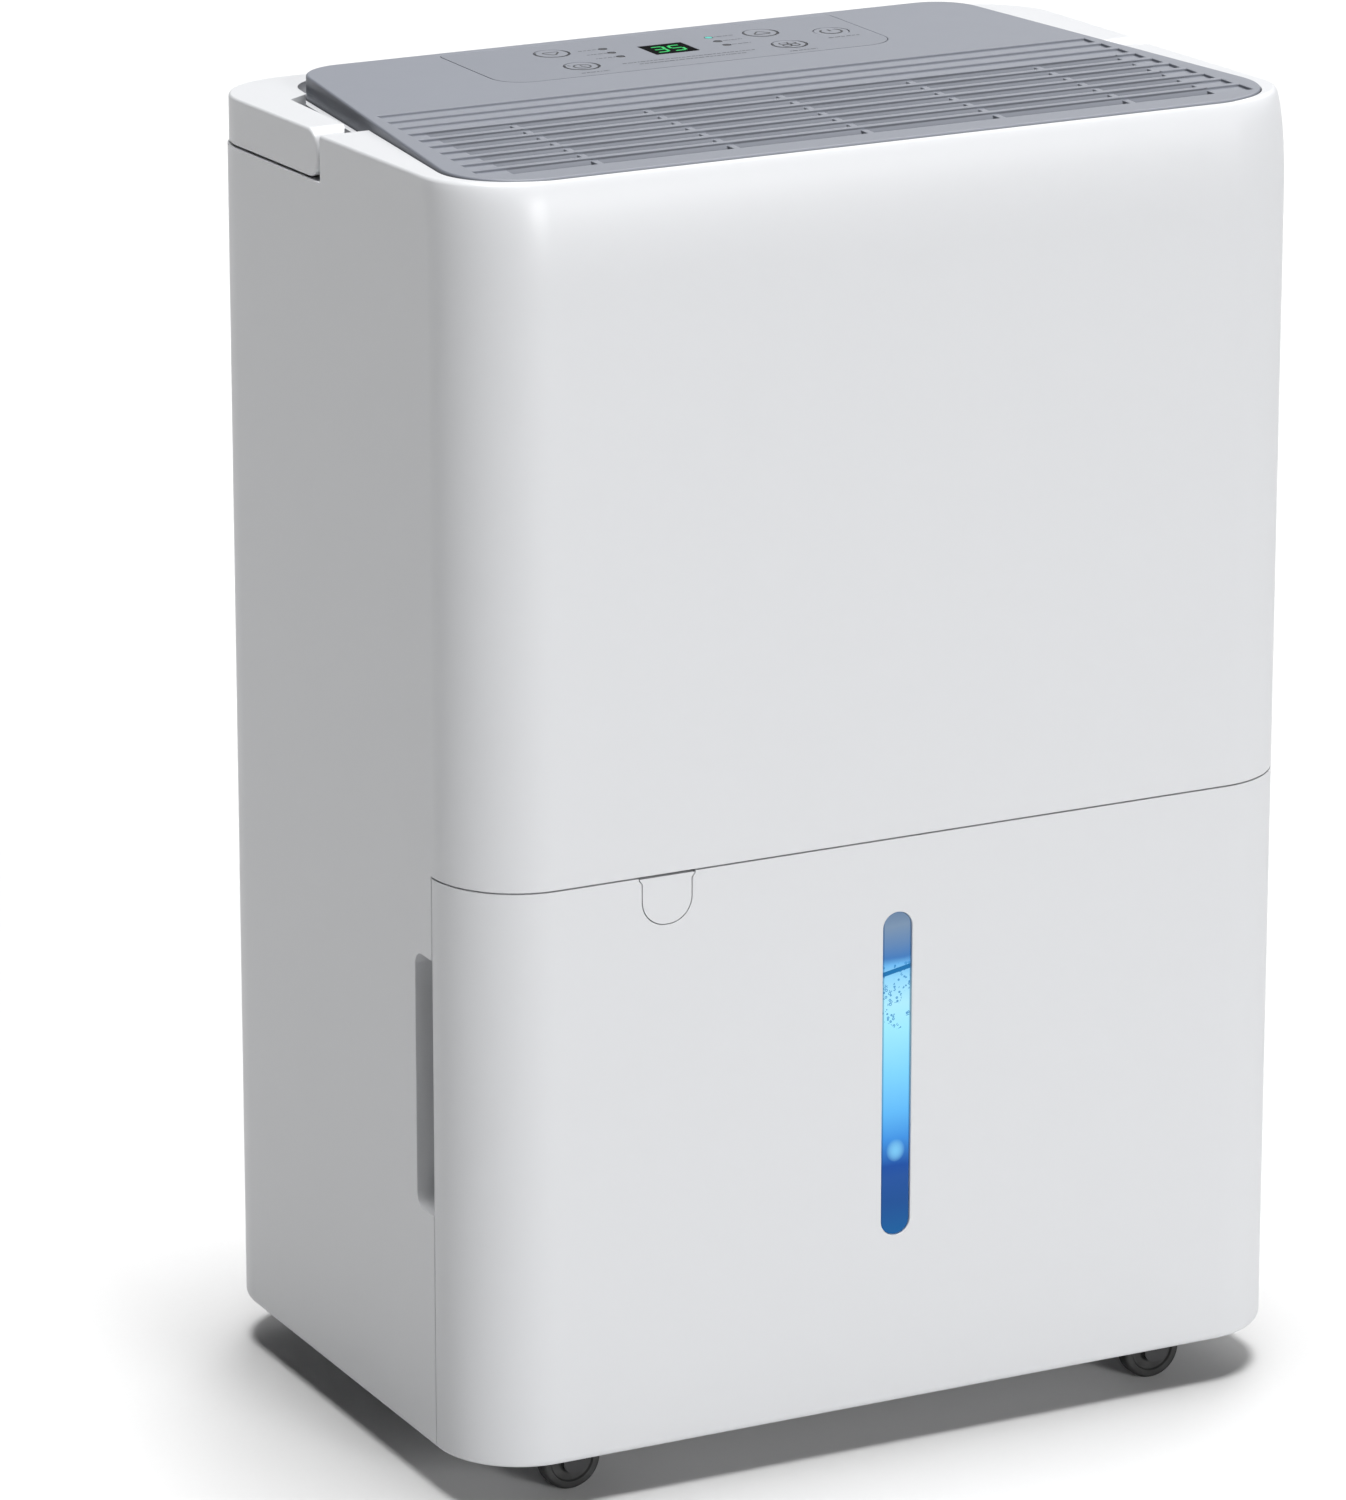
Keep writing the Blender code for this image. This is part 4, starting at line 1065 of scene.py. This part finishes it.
@dataclass
class BucketFront:
    """Front cover of the bucket with its window, hose tab and water."""

    form: CabinetForm
    window_half: float = 6.8
    window_low: float = 93.7
    window_high: float = 235.0
    tab_x: float = -106.0
    tab_half: float = 11.1
    tab_low: float = 245.9
    tab_round: float = 10.6
    tab_flare: float = 1.3
    tab_flare_low: float = 264.1

    def tab_outline(self, grow: float, top: float) -> Array:
        """U-shaped outline of the tab, slightly wider at its top."""
        low = self.tab_low - grow
        half = self.tab_half + grow
        radius = self.tab_round + grow
        wide = half + self.tab_flare
        right = [(half, low), (half, self.tab_flare_low), (wide, self.tab_flare_low + 1.6), (wide, top)]
        left = [(-x, z) for x, z in right[::-1]]
        corners = [(self.tab_x + x, z) for x, z in right + left]
        radii = [radius, 0.4, 0.3, 0.2]
        return rounded_outline(corners, radii + radii[::-1], 16)

    def build(self, workshop: Workshop) -> None:
        """Make the cover, the tab and the window."""
        form = self.form
        front = -form.depth / 2
        cover = loft("BucketFrontCover", form.rings(0.0, 0.0))
        reach = form.width / 2 + 10
        limit_y = form.side_seam_y - form.seam_gap
        limit_z = form.seam_z - form.seam_gap
        carve(cover, [boxes("region", [[-reach, -form.depth, -5]], [[reach, limit_y, limit_z]])], "INTERSECT")
        inner = loft("inside", [form.ring(form.wall, form.base_z - 10), form.ring(form.wall, form.seam_z + 20)])
        half = self.window_half
        slot = rectangle(-half, half, self.window_low, self.window_high, half - 0.03, 16)
        window = extrude("slot", slot, Axis.Y, front - 5, front + 8)
        notch = extrude("notch", self.tab_outline(0.35, form.seam_z + 6), Axis.Y, front - 5, front + 8)
        carve(cover, [inner, window, notch])
        workshop.deliver(cover, "white_plastic", Body.BUCKET.value, ["bucket_front"], 0.25)

        tab = extrude("HoseTab", self.tab_outline(0.0, limit_z - 0.4), Axis.Y, front + 0.02, front + form.wall)
        workshop.deliver(tab, "white_plastic", Body.TAB.value, ["hose_tab"], 0.2)

        inset = 0.3
        lens_outline = rectangle(-half + inset, half - inset, self.window_low + inset, self.window_high - inset,
                                 half - inset - 0.03, 16)
        lens = extrude("WaterWindowLens", lens_outline, Axis.Y, front + 0.5, front + 3.2)
        workshop.deliver(lens, "water_window", Body.BUCKET.value, ["water_window"], 0.5)


@dataclass
class TopPanel:
    """The grey louvred panel: rounded rim, full-width grooves, openings in the front seven, and the control area."""

    form: CabinetForm
    panel: PanelForm
    thick: float = 3.2
    skirt: float = 2.4
    skirt_drop: float = 5.2
    rim: float = 0.9
    louvre_depth: float = 9.0
    bed_rear: float = -15.0
    pitch: float = 12.3
    plain_rows: int = 3
    open_rows: int = 7
    first_y: float = -22.0
    groove: float = 9.3
    last_groove: float = 11.6
    groove_depth: float = 1.2
    groove_end: float = 5.0
    groove_end_growth: float = 0.6
    lean: float = 0.8
    bay_pitch: float = 60.5
    bar: float = 3.0
    span: float = 161.0
    cut_low: float = 540.0

    def row_edges(self, rows: Array) -> tuple[Array, Array]:
        """Front and rear Y of each row: rows are a pitch apart, and the last one is deeper.

        Args:
            rows: the rows' numbers, where 0 is the first with openings.

        Returns:
            The front edges and the rear edges.
        """
        high = self.first_y - self.pitch * rows
        return high - np.where(rows < self.open_rows - 1, self.groove, self.last_groove), high

    def groove_boxes(self) -> bpy.types.Object:
        """Cutter for the grooves: each box lies on one row, a little below the face."""
        rows = np.arange(-self.plain_rows, self.open_rows)
        low, high = self.row_edges(rows)
        half = self.panel.half(high) - self.groove_end - self.groove_end_growth * (rows + self.plain_rows)
        floor = self.panel.top(high) - self.groove_depth
        return boxes("grooves", np.column_stack([-half, low, floor]), np.column_stack([half, high, floor + 60]))

    def louvre_cutter(self) -> bpy.types.Object:
        """Cutter for the openings: every row times every bay between the dividers.

        Each is upright above its groove's floor. Below it, its Y falls by the lean times the depth.
        """
        low, high = self.row_edges(np.arange(self.open_rows))
        edges = np.array([-self.span, *(self.bay_pitch * np.arange(-2, 3)), self.span])
        x_low, y_low = (grid.ravel() for grid in np.meshgrid(edges[:-1] + self.bar / 2, low))
        x_high, y_high = (grid.ravel() for grid in np.meshgrid(edges[1:] - self.bar / 2, high))
        floor = self.panel.top(y_high) - self.groove_depth
        heights = np.column_stack([np.full_like(floor, self.cut_low), floor, np.full_like(floor, ABOVE)])
        shift = self.lean * np.minimum(heights - floor[:, None], 0.0)
        corners_x = np.stack([x_low, x_high, x_high, x_low], axis=-1)
        corners_y = np.stack([y_low, y_low, y_high, y_high], axis=-1)
        points, faces = [], []
        for index in range(len(floor)):
            rings = np.stack([np.column_stack([corners_x[index], corners_y[index] + move, np.full(4, z)])
                              for move, z in zip(shift[index], heights[index])])
            part, part_faces = loft_parts(rings, start=12 * index)
            points.append(part)
            faces += part_faces
        return make_object("openings", np.vstack(points), faces)

    def build(self, workshop: Workshop, controls: "Controls") -> None:
        """Make the panel.

        Args:
            workshop: where finished pieces go.
            controls: what shares its openings.
        """
        inward, fall = fillet(self.rim, 6)
        rings = [level(self.panel.outline(0.0), lambda y: self.form.deck(y) - self.skirt_drop)]
        for inset, down in zip(inward, fall):
            rings.append(level(self.panel.outline(-inset), lambda y, down=down: self.panel.top(y) - down))
        piece = loft("LouvrePanel", rings)
        under = prism("under", self.panel.outline(-self.skirt), 520.0, lambda y: self.panel.top(y) - self.thick)
        bed_half = self.span + 2 * self.bar
        bed_low = self.panel.top_rear - self.louvre_depth
        bed = boxes("bed", [[-bed_half, self.panel.front - 10, bed_low]], [[bed_half, self.bed_rear, ABOVE]])
        carve(under, [bed])
        seat = prism("seat", controls.outline(0.3), lambda y: self.panel.top(y) - controls.film - 0.3, ABOVE)
        carve(piece, [under, self.groove_boxes()])
        carve(piece, [self.louvre_cutter(), seat])
        carve(piece, controls.holes("panel", 0.3))
        workshop.deliver(piece, "grey_plastic", Body.CABINET.value, ["top_panel"], 0.3)


class Symbol(Enum):
    """What is printed on a button."""

    DOWN = "down_button"
    TIMER = "timer_button"
    UP = "up_button"
    MODE = "mode_button"
    POWER = "power_button"


@dataclass
class Controls:
    """Control film, printed symbols, buttons, display and indicator lamps."""

    panel: PanelForm
    half: float = 92.0
    front: float = 45.0
    rear: float = 110.0
    film: float = 0.5
    button_r: float = 7.6
    display_half: tuple[float, float] = (10.0, 9.2)
    display_y: float = 78.6
    lamp_x: float = 25.0
    lamp_r: float = 1.7
    lamp_rows: tuple[float, ...] = (73.5, 82.0, 90.5)
    places: dict[Symbol, tuple[float, float]] = field(default_factory=lambda: {
        Symbol.DOWN: (-48.0, 92.0),
        Symbol.TIMER: (-48.0, 63.5),
        Symbol.UP: (49.0, 89.0),
        Symbol.MODE: (49.0, 62.5),
        Symbol.POWER: (77.0, 78.0),
    })
    cut_low: float = 530.0
    ink_lift: float = 0.03
    line: float = 0.75

    def outline(self, grow: float) -> Array:
        """The film's plan, moved out by grow."""
        half = self.half + grow
        front, rear = self.front - grow, self.rear + grow
        corners = [(half, front), (half, rear), (-half, rear), (-half, front)]
        return rounded_outline(corners, [14.0 + grow, 3.0 + grow, 3.0 + grow, 14.0 + grow], 10)

    def holes(self, label: str, clearance: float) -> list[bpy.types.Object]:
        """Cutters for the buttons, the display and the lamps."""
        made = []
        for symbol, (x, y) in self.places.items():
            made.append(prism(f"{label}_{symbol.value}", circle(x, y, self.button_r + clearance), self.cut_low, ABOVE))
        half_x, half_y = (size + clearance for size in self.display_half)
        window = rectangle(-half_x, half_x, self.display_y - half_y, self.display_y + half_y, 0.8)
        made.append(prism(f"{label}_display", window, self.cut_low, ABOVE))
        for side in Side:
            for row, y in enumerate(self.lamp_rows):
                outline = circle(side.value * self.lamp_x, y, self.lamp_r + clearance, 20)
                made.append(prism(f"{label}_lamp_{side.label}_{row}", outline, self.cut_low, ABOVE))
        return made

    def sheet(self, name: str, parts: Bands, lift: float) -> bpy.types.Object:
        """Join flat bands into one sheet that lies on the panel's face, with its faces up.

        Args:
            name: the object's name.
            parts: points in X and Y with faces, as ribbon() gives them.
            lift: height above the face.

        Returns:
            The object.
        """
        points, faces, start = [], [], 0
        for outline, part_faces in parts:
            points.append(outline)
            faces += [[index + start for index in face] for face in part_faces]
            start += len(outline)
        flat = np.vstack(points)
        made = make_object(name, np.column_stack([flat, self.panel.top(flat[:, 1]) + lift]), faces)
        work = bmesh.new()
        work.from_mesh(made.data)
        bmesh.ops.recalc_face_normals(work, faces=work.faces)
        down = [face for face in work.faces if face.normal.z < 0]
        bmesh.ops.reverse_faces(work, faces=down)
        work.to_mesh(made.data)
        work.free()
        return made

    def symbol_lines(self, symbol: Symbol, x: float, y: float) -> Bands:
        """Lines of one symbol round its button's centre.

        Args:
            symbol: which one.
            x: the centre's X.
            y: the centre's Y.

        Returns:
            Flat bands.
        """
        bands = []
        if symbol in (Symbol.DOWN, Symbol.UP):
            turn = 1.0 if symbol is Symbol.UP else -1.0
            corners = np.array([[-4.6, -2.6 * turn], [4.6, -2.6 * turn], [0.0, 3.4 * turn]])
            if turn < 0:
                corners = corners[::-1]
            bands.append(ribbon(rounded_outline(corners + (x, y), [1.1] * 3, 5), self.line, True))
        elif symbol is Symbol.TIMER:
            bands.append(ribbon(circle(x, y - 0.4, 3.6, 36), self.line, True))
            bands.append(ribbon([(x, y + 1.8), (x, y - 0.4), (x + 1.6, y - 1.3)], self.line))
            for side in Side:
                first, last = 45 - side.value * 45, 180 - side.value * 60
                bell = arc(x + side.value * 3.4, y + 3.4, 1.5, first, last, 8)
                bands.append(ribbon(bell, self.line))
        elif symbol is Symbol.MODE:
            for turn in range(4):
                angle = math.radians(45 + 90 * turn)
                leaf = arc(x + 2.6 * math.cos(angle), y + 2.6 * math.sin(angle), 1.9, 0, 360, 20)[:-1]
                bands.append(ribbon(leaf, self.line, True))
        else:
            bands.append(ribbon(arc(x, y, 4.6, 125, 415, 36), self.line * 1.3))
            bands.append(ribbon([(x, y + 5.4), (x, y + 0.4)], self.line * 1.3))
        return bands

    def marks(self) -> Bands:
        """Rows of short dashes that stand for small print."""
        rng = np.random.default_rng(7)
        rows = [(0.0, 59.5, 62.0, 1.3), (0.0, 55.6, 50.0, 1.3)]
        rows += [(x, y - 13.2, 13.0, 1.4) for symbol, (x, y) in self.places.items()
                 if symbol in (Symbol.TIMER, Symbol.MODE)]
        rows += [(77.0, 66.0, 15.0, 1.4)]
        rows += [(side.value * 32.0, y, 9.0, 1.1) for side in Side for y in self.lamp_rows]
        bands = []
        for x, y, length, height in rows:
            at = x - length / 2
            while at < x + length / 2:
                dash = rng.uniform(0.7, 2.6)
                bands.append(ribbon([(at, y), (min(at + dash, x + length / 2), y)], height * 0.5))
                at += dash + rng.uniform(0.35, 0.7)
        return bands

    def build(self, workshop: Workshop) -> None:
        """Make the film, buttons, display, lamps and print."""
        cabinet = Body.CABINET.value
        film = prism("ControlFilm", self.outline(0.0), lambda y: self.panel.top(y) - self.film,
                     lambda y: self.panel.top(y) - 0.02)
        carve(film, self.holes("film", 0.3))
        workshop.deliver(film, "overlay_film", cabinet, ["control_overlay"])
        for symbol, (x, y) in self.places.items():
            self.build_button(workshop, symbol, x, y)
        self.build_display(workshop)
        self.build_lamps(workshop)
        workshop.deliver(self.sheet("FinePrint", self.marks(), self.ink_lift), "print_dark", cabinet)

    def build_button(self, workshop: Workshop, symbol: Symbol, x: float, y: float) -> None:
        """Make one button with its plunger, flange and symbol, and a printed ring on all but the power button."""
        top = float(self.panel.top(y)) - 0.05
        flange = self.button_r + 1.1
        inset, drop = fillet(0.35, 3)
        rim = np.column_stack([self.button_r - inset, -drop])
        profile = np.vstack([[(2.0, -10.2), (2.0, -5.4), (flange, -5.4), (flange, -4.3), (self.button_r, -4.3)], rim])
        body = symbol.value + "_piece"
        name = title_of(symbol.value)
        button = turned(name, profile, (x, y, top), Axis.Z)
        workshop.deliver(button, "overlay_film", body, [symbol.value])
        bands = self.symbol_lines(symbol, x, y)
        if symbol is not Symbol.POWER:
            bands.append(ribbon(circle(x, y, self.button_r - 0.5, 48), self.line, True))
        ink = self.sheet(name + "Print", bands, self.ink_lift - 0.04)
        workshop.deliver(ink, "print_dark", body)

    def build_display(self, workshop: Workshop) -> None:
        """Make the dark window and its two lit digits."""
        half_x, half_y = self.display_half
        outline = rectangle(-half_x, half_x, self.display_y - half_y, self.display_y + half_y, 0.6)
        window = prism("DisplayGlass", outline, lambda y: self.panel.top(y) - 2.0, lambda y: self.panel.top(y) - 0.1)
        workshop.deliver(window, "display_glass", Body.CABINET.value, ["display_window"])
        bands = []
        for centre, segments in ((-4.0, "abgcd"), (4.0, "afgcd")):
            bands += self.digit(centre, self.display_y, segments)
        digits = self.sheet("DisplayDigits", bands, -0.06)
        workshop.deliver(digits, "digit_green", Body.CABINET.value)

    def digit(self, x: float, y: float, segments: str) -> Bands:
        """Bars of a seven-segment digit.

        Args:
            x: the digit's middle.
            y: the digit's middle.
            segments: letters of the lit bars, in the usual order from the top bar clockwise.

        Returns:
            Flat bands.
        """
        wide, tall, gap, lean = 2.6, 5.0, 0.35, 0.12
        ends = {
            "a": ((-1, 2), (1, 2)), "b": ((1, 2), (1, 0)), "c": ((1, 0), (1, -2)), "d": ((-1, -2), (1, -2)),
            "e": ((-1, 0), (-1, -2)), "f": ((-1, 2), (-1, 0)), "g": ((-1, 0), (1, 0)),
        }
        bands = []
        for letter in segments:
            first, last = (np.array(point, float) * (wide, tall / 2) for point in ends[letter])
            along = (last - first) / np.linalg.norm(last - first)
            line = np.stack([first + along * gap, last - along * gap])
            line[:, 0] += line[:, 1] * lean
            bands.append(ribbon(line + (x, y), 1.25))
        return bands

    def build_lamps(self, workshop: Workshop) -> None:
        """Make the two light pipes, and a lit cap of colour on the rear pip of the right-hand pipe."""
        for side in Side:
            x = side.value * self.lamp_x
            pips = []
            for row, y in enumerate(self.lamp_rows):
                profile = soft_profile(self.lamp_r, -8.0, -0.05, 0.3, 3)
                pips.append(turned(f"pip_{side.label}_{row}", profile, (x, y, float(self.panel.top(y))), Axis.Z, 20))
            low = [x - 3, self.lamp_rows[0] - 4, 541.8]
            high = [x + 3, self.lamp_rows[-1] + 4, 549.0]
            bar = boxes(f"LightPipe{side.name.title()}", [low], [high])
            carve(bar, pips, "UNION")
            node = f"light_pipe_{side.label}"
            workshop.deliver(bar, "print_dark", Body.CABINET.value, [node])
        lit = circle(self.lamp_x, self.lamp_rows[-1], self.lamp_r - 0.1, 24)
        spot = self.sheet("LitLamp", [(lit, [list(range(len(lit)))])], 0.0)
        workshop.deliver(spot, "lamp_teal", Body.CABINET.value)


@dataclass
class CarryHandle:
    """The U-shaped bail: rounded front ends on pivots and a bar across the back."""

    form: CabinetForm
    panel: PanelForm
    bay: HandleBay
    out: float = 0.7
    inner: float = 176.6
    inner_y: float = 24.0
    inner_slope: float = -0.0558
    nose: tuple[float, float] = (181.0, 11.0)
    corner_y: tuple[float, float] = (80.0, 88.0)
    bar_gap: float = 3.6
    edge: float = 1.2
    pin_start: float = 150.0

    def inner_half(self, y: float) -> float:
        """Half the clear width between the arms, which narrows in a straight line towards the back."""
        return self.inner + self.inner_slope * (y - self.inner_y)

    def inside(self) -> Array:
        """Plan of the space inside the handle, widened round the nose of each arm."""
        shoulder = self.inner_y - 5
        nose_x, nose_y = self.nose
        first, last = self.corner_y
        gap = self.bar_gap
        rear = self.panel.rear + gap
        half = [(nose_x + 3, -self.form.depth), (nose_x + 3, nose_y - 3), self.nose]
        half += [(self.inner_half(shoulder), shoulder), (self.inner_half(first), first)]
        half += [(float(self.panel.half(last)) + gap, last), (float(self.panel.half(rear)) + gap, rear)]
        radii = [0.1, 2.0, 2.0, 6.0, 3.0, 3.0, self.panel.round_rear + gap]
        mirrored = [(-x, y) for x, y in half[::-1]]
        return rounded_outline(half + mirrored, radii + radii[::-1], 14)

    def side_outline(self, inset: float) -> Array:
        """Side view in Y and Z: two sloping lines that end in a half circle about the pivot.

        A point of the nose is the pivot plus the radius times cosine and sine of its angle.

        Args:
            inset: how far every side moves in.

        Returns:
            Points in Y and Z.
        """
        bay = self.bay
        radius = bay.arm_half - inset
        tilt = math.atan(bay.slope)
        angles = np.linspace(tilt + math.pi / 2, tilt + math.pi * 1.5, 41)
        nose = np.column_stack([bay.pivot_y + radius * np.cos(angles), bay.pivot_z + radius * np.sin(angles)])
        rear = self.form.depth
        middle = bay.pivot_z + bay.slope * (rear - bay.pivot_y)
        return np.vstack([[(rear, middle + radius)], nose, [(rear, middle - radius)]])

    def build(self, workshop: Workshop) -> None:
        """Make the handle.

        The plan between the arms is cut from the cabinet's plan, and the side view keeps its rounded nose. The outer
        edges are softened by stepping the side view and the plan in together round a quarter circle.
        """
        form, bay = self.form, self.bay
        into, down = fillet(self.edge, 5)
        rings = []
        for share, drop in zip(into[::-1], down[::-1]):
            rings.append(level(form.plan(self.out + share), lambda y, d=drop: self.centre(y) - bay.arm_half + d))
        for share, drop in zip(into, down):
            rings.append(level(form.plan(self.out + share), lambda y, d=drop: self.centre(y) + bay.arm_half - d))
        handle = loft("CarryHandle", rings)
        carve(handle, [prism("inside", self.inside(), 500.0, ABOVE)])
        outer = form.width / 2 - self.out
        stations = [(-outer + drop, share) for share, drop in zip(into, down)][::-1]
        stations += [(outer - drop, share) for share, drop in zip(into, down)]
        nose = loft("nose", [np.insert(self.side_outline(share), 0, x, axis=1) for x, share in stations])
        carve(handle, [nose], "INTERSECT")
        carve(handle, bay.pin_holes(self.pin_start))
        workshop.deliver(handle, "white_plastic", Body.HANDLE.value, ["carry_handle"])

    def centre(self, y: Array) -> Array:
        """Height of the handle's middle at y."""
        return self.bay.pivot_z + self.bay.slope * (y - self.bay.pivot_y)


@dataclass
class Casters:
    """Four swivel casters: black wheel, fork with two cheeks, and stem."""

    x: float = 138.0
    y: float = 109.6
    wheel_r: float = 13.2
    wheel_half: float = 4.0
    trail: float = 3.5

    def build(self, workshop: Workshop) -> None:
        """Make every caster."""
        for end, y in (("front", -self.y), ("rear", self.y)):
            for side in Side:
                self.build_one(workshop, side.value * self.x, y, f"{end}_{side.label}")

    def build_one(self, workshop: Workshop, x: float, y: float, label: str) -> None:
        """Make the wheel and fork of one caster."""
        axle_x = x - self.trail
        centre = (axle_x, y, self.wheel_r)
        title = title_of(label)
        inset, drop = fillet(1.6, 6)
        half = self.wheel_half
        rim = np.column_stack([self.wheel_r - inset, half - drop])
        dish = np.array([(self.wheel_r - 3.4, half), (self.wheel_r - 4.0, half - 0.8), (5.0, half - 0.8), (4.4, half)])
        right = np.vstack([rim, dish])
        left = (right * (1, -1))[::-1]
        wheel = turned(f"CasterWheel{title}", np.vstack([left, right]), centre, Axis.Y, 64)
        bore = turned("bore", np.array([(1.85, -9.0), (1.85, 9.0)]), centre, Axis.Y, 20)
        carve(wheel, [bore])
        workshop.deliver(wheel, "soft_rubber", f"wheel_{label}", [f"caster_wheel_{label}"])

        head = self.wheel_r * 2 + 1.4
        profile = np.array([(11.0, head), (11.5, head + 0.5), (11.5, head + 2.5), (11.0, head + 3), (8, head + 4)])
        fork = turned(f"CasterFork{title}", profile, (x, y, 0.0), Axis.Z)
        parts = [turned("stem", np.array([(4.0, head + 2), (4.0, head + 16)]), (x, y, 0.0), Axis.Z, 24)]
        for side in Side:
            ends = sorted((y + side.value * (half + 0.6), y + side.value * (half + 2.4)))
            corners = [(axle_x - 5, self.wheel_r - 5), (axle_x + 5, self.wheel_r - 5), (x + 8, head + 1),
                       (x - 8, head + 1)]
            parts.append(extrude(f"cheek_{side.label}", rounded_outline(corners, [4.6, 4.6, 1, 1], 8), Axis.Y, *ends))
        parts.append(turned("axle", np.array([(1.6, -half - 1.5), (1.6, half + 1.5)]), centre, Axis.Y, 20))
        carve(fork, parts, "UNION")
        workshop.deliver(fork, "dark_plastic", f"fork_{label}", [f"caster_fork_{label}"])


class CarriedOver:
    """Mechanical nodes that are shown as they are, in the finish of their record slot."""

    OVERRIDES = {
        "fan_housing": "inner_plastic",
        "bay_divider": "inner_plastic",
        "drip_tray": "inner_plastic",
    }

    def dress(self, workshop: Workshop) -> None:
        """Give each shown node its finish."""
        slots = {part["node"]: part["material_slot"] for part in frame["record"]["subparts"]}
        for name, node in frame["nodes"].items():
            if name in workshop.replaced:
                continue
            finish = self.OVERRIDES.get(name, slots.get(name, "dark_plastic"))
            node.data.materials.clear()
            node.data.materials.append(workshop.finishes[finish])
            LOG.info("%s: carried over as %s", name, finish)


# ---------------------------------------------------------------- the set


@dataclass
class Studio:
    """Pale floor, soft lights and the camera."""

    location: tuple[float, float, float] = (-1.5069, -2.9097, 1.2863)
    back: tuple[float, float, float] = (-0.4305, -0.8525, 0.2967)
    lens: float = 194.8
    floor_half: float = 12.0
    floor_points: int = 9
    floor_dark: Colour = (0.615, 0.615, 0.615)
    floor_light: Colour = (0.630, 0.630, 0.630)
    ambient: float = 0.02
    suns: tuple[tuple[str, Colour, float, float], ...] = (
        ("overhead", (0.02, 0.0, 1.0), 26.0, 4.5),
        ("front", (0.2, -1.0, 0.25), 16.0, 2.0),
        ("rear", (0.8, 1.0, 1.0), 30.0, 0.8),
    )

    def sun(self, name: str, towards: Sequence[float], spread: float, strength: float) -> None:
        """Add a large soft light that is the same everywhere.

        Args:
            name: the light's name.
            towards: direction from the object to the light.
            spread: its angular size in degrees.
            strength: its irradiance, in watts a square metre.
        """
        data = bpy.data.lights.new(name, "SUN")
        data.angle = math.radians(spread)
        data.energy = strength
        light = bpy.data.objects.new(name, data)
        light.rotation_euler = Vector(towards).to_track_quat("Z", "Y").to_euler()
        bpy.context.scene.collection.objects.link(light)

    def floor(self) -> None:
        """Add the floor as a grid in X and Y at height zero."""
        count = self.floor_points
        ends = np.linspace(-self.floor_half, self.floor_half, count)
        x, y = (grid.ravel() for grid in np.meshgrid(ends, ends))
        index = np.arange(count**2).reshape(count, count)
        faces = np.stack([index[:-1, :-1], index[:-1, 1:], index[1:, 1:], index[1:, :-1]], axis=-1).reshape(-1, 4)
        points = np.column_stack([x, y, np.zeros_like(x)]) / MM
        floor = make_object("StudioFloor", points, faces.tolist())
        graph = Graph("studio_floor")
        paper = graph.noise(400.0, 3.0)
        colour = graph.mix(paper, self.floor_dark, self.floor_light)
        floor.data.materials.append(graph.surface(Base_Color=colour, Roughness=0.9))

    def build(self) -> None:
        """Make the floor, the lights and the camera."""
        self.floor()
        world = bpy.data.worlds.new("studio")
        world.use_nodes = True
        background = world.node_tree.nodes["Background"]
        background.inputs["Color"].default_value = (1.0, 1.0, 1.0, 1.0)
        background.inputs["Strength"].default_value = self.ambient
        bpy.context.scene.world = world
        bpy.context.scene.view_settings.view_transform = "Standard"
        for name, towards, spread, strength in self.suns:
            self.sun(name, towards, spread, strength)
        camera_data = bpy.data.cameras.new("camera")
        camera_data.lens = self.lens
        camera = bpy.data.objects.new("camera", camera_data)
        camera.location = self.location
        camera.rotation_euler = (-Vector(self.back)).to_track_quat("-Z", "Y").to_euler()
        bpy.context.scene.collection.objects.link(camera)
        bpy.context.scene.camera = camera


def main() -> None:
    """Build every piece in order."""
    logging.basicConfig(level=logging.INFO, format="%(name)s: %(message)s")
    workshop = Workshop(Finishes())
    form = CabinetForm()
    panel = PanelForm()
    bay = HandleBay(form, panel)
    controls = Controls(panel)
    Casing(form, panel, bay).build(workshop)
    BucketFront(form).build(workshop)
    TopPanel(form, panel).build(workshop, controls)
    controls.build(workshop)
    CarryHandle(form, panel, bay).build(workshop)
    Casters().build(workshop)
    CarriedOver().dress(workshop)
    Studio().build()


if __name__ == "__main__":
    main()
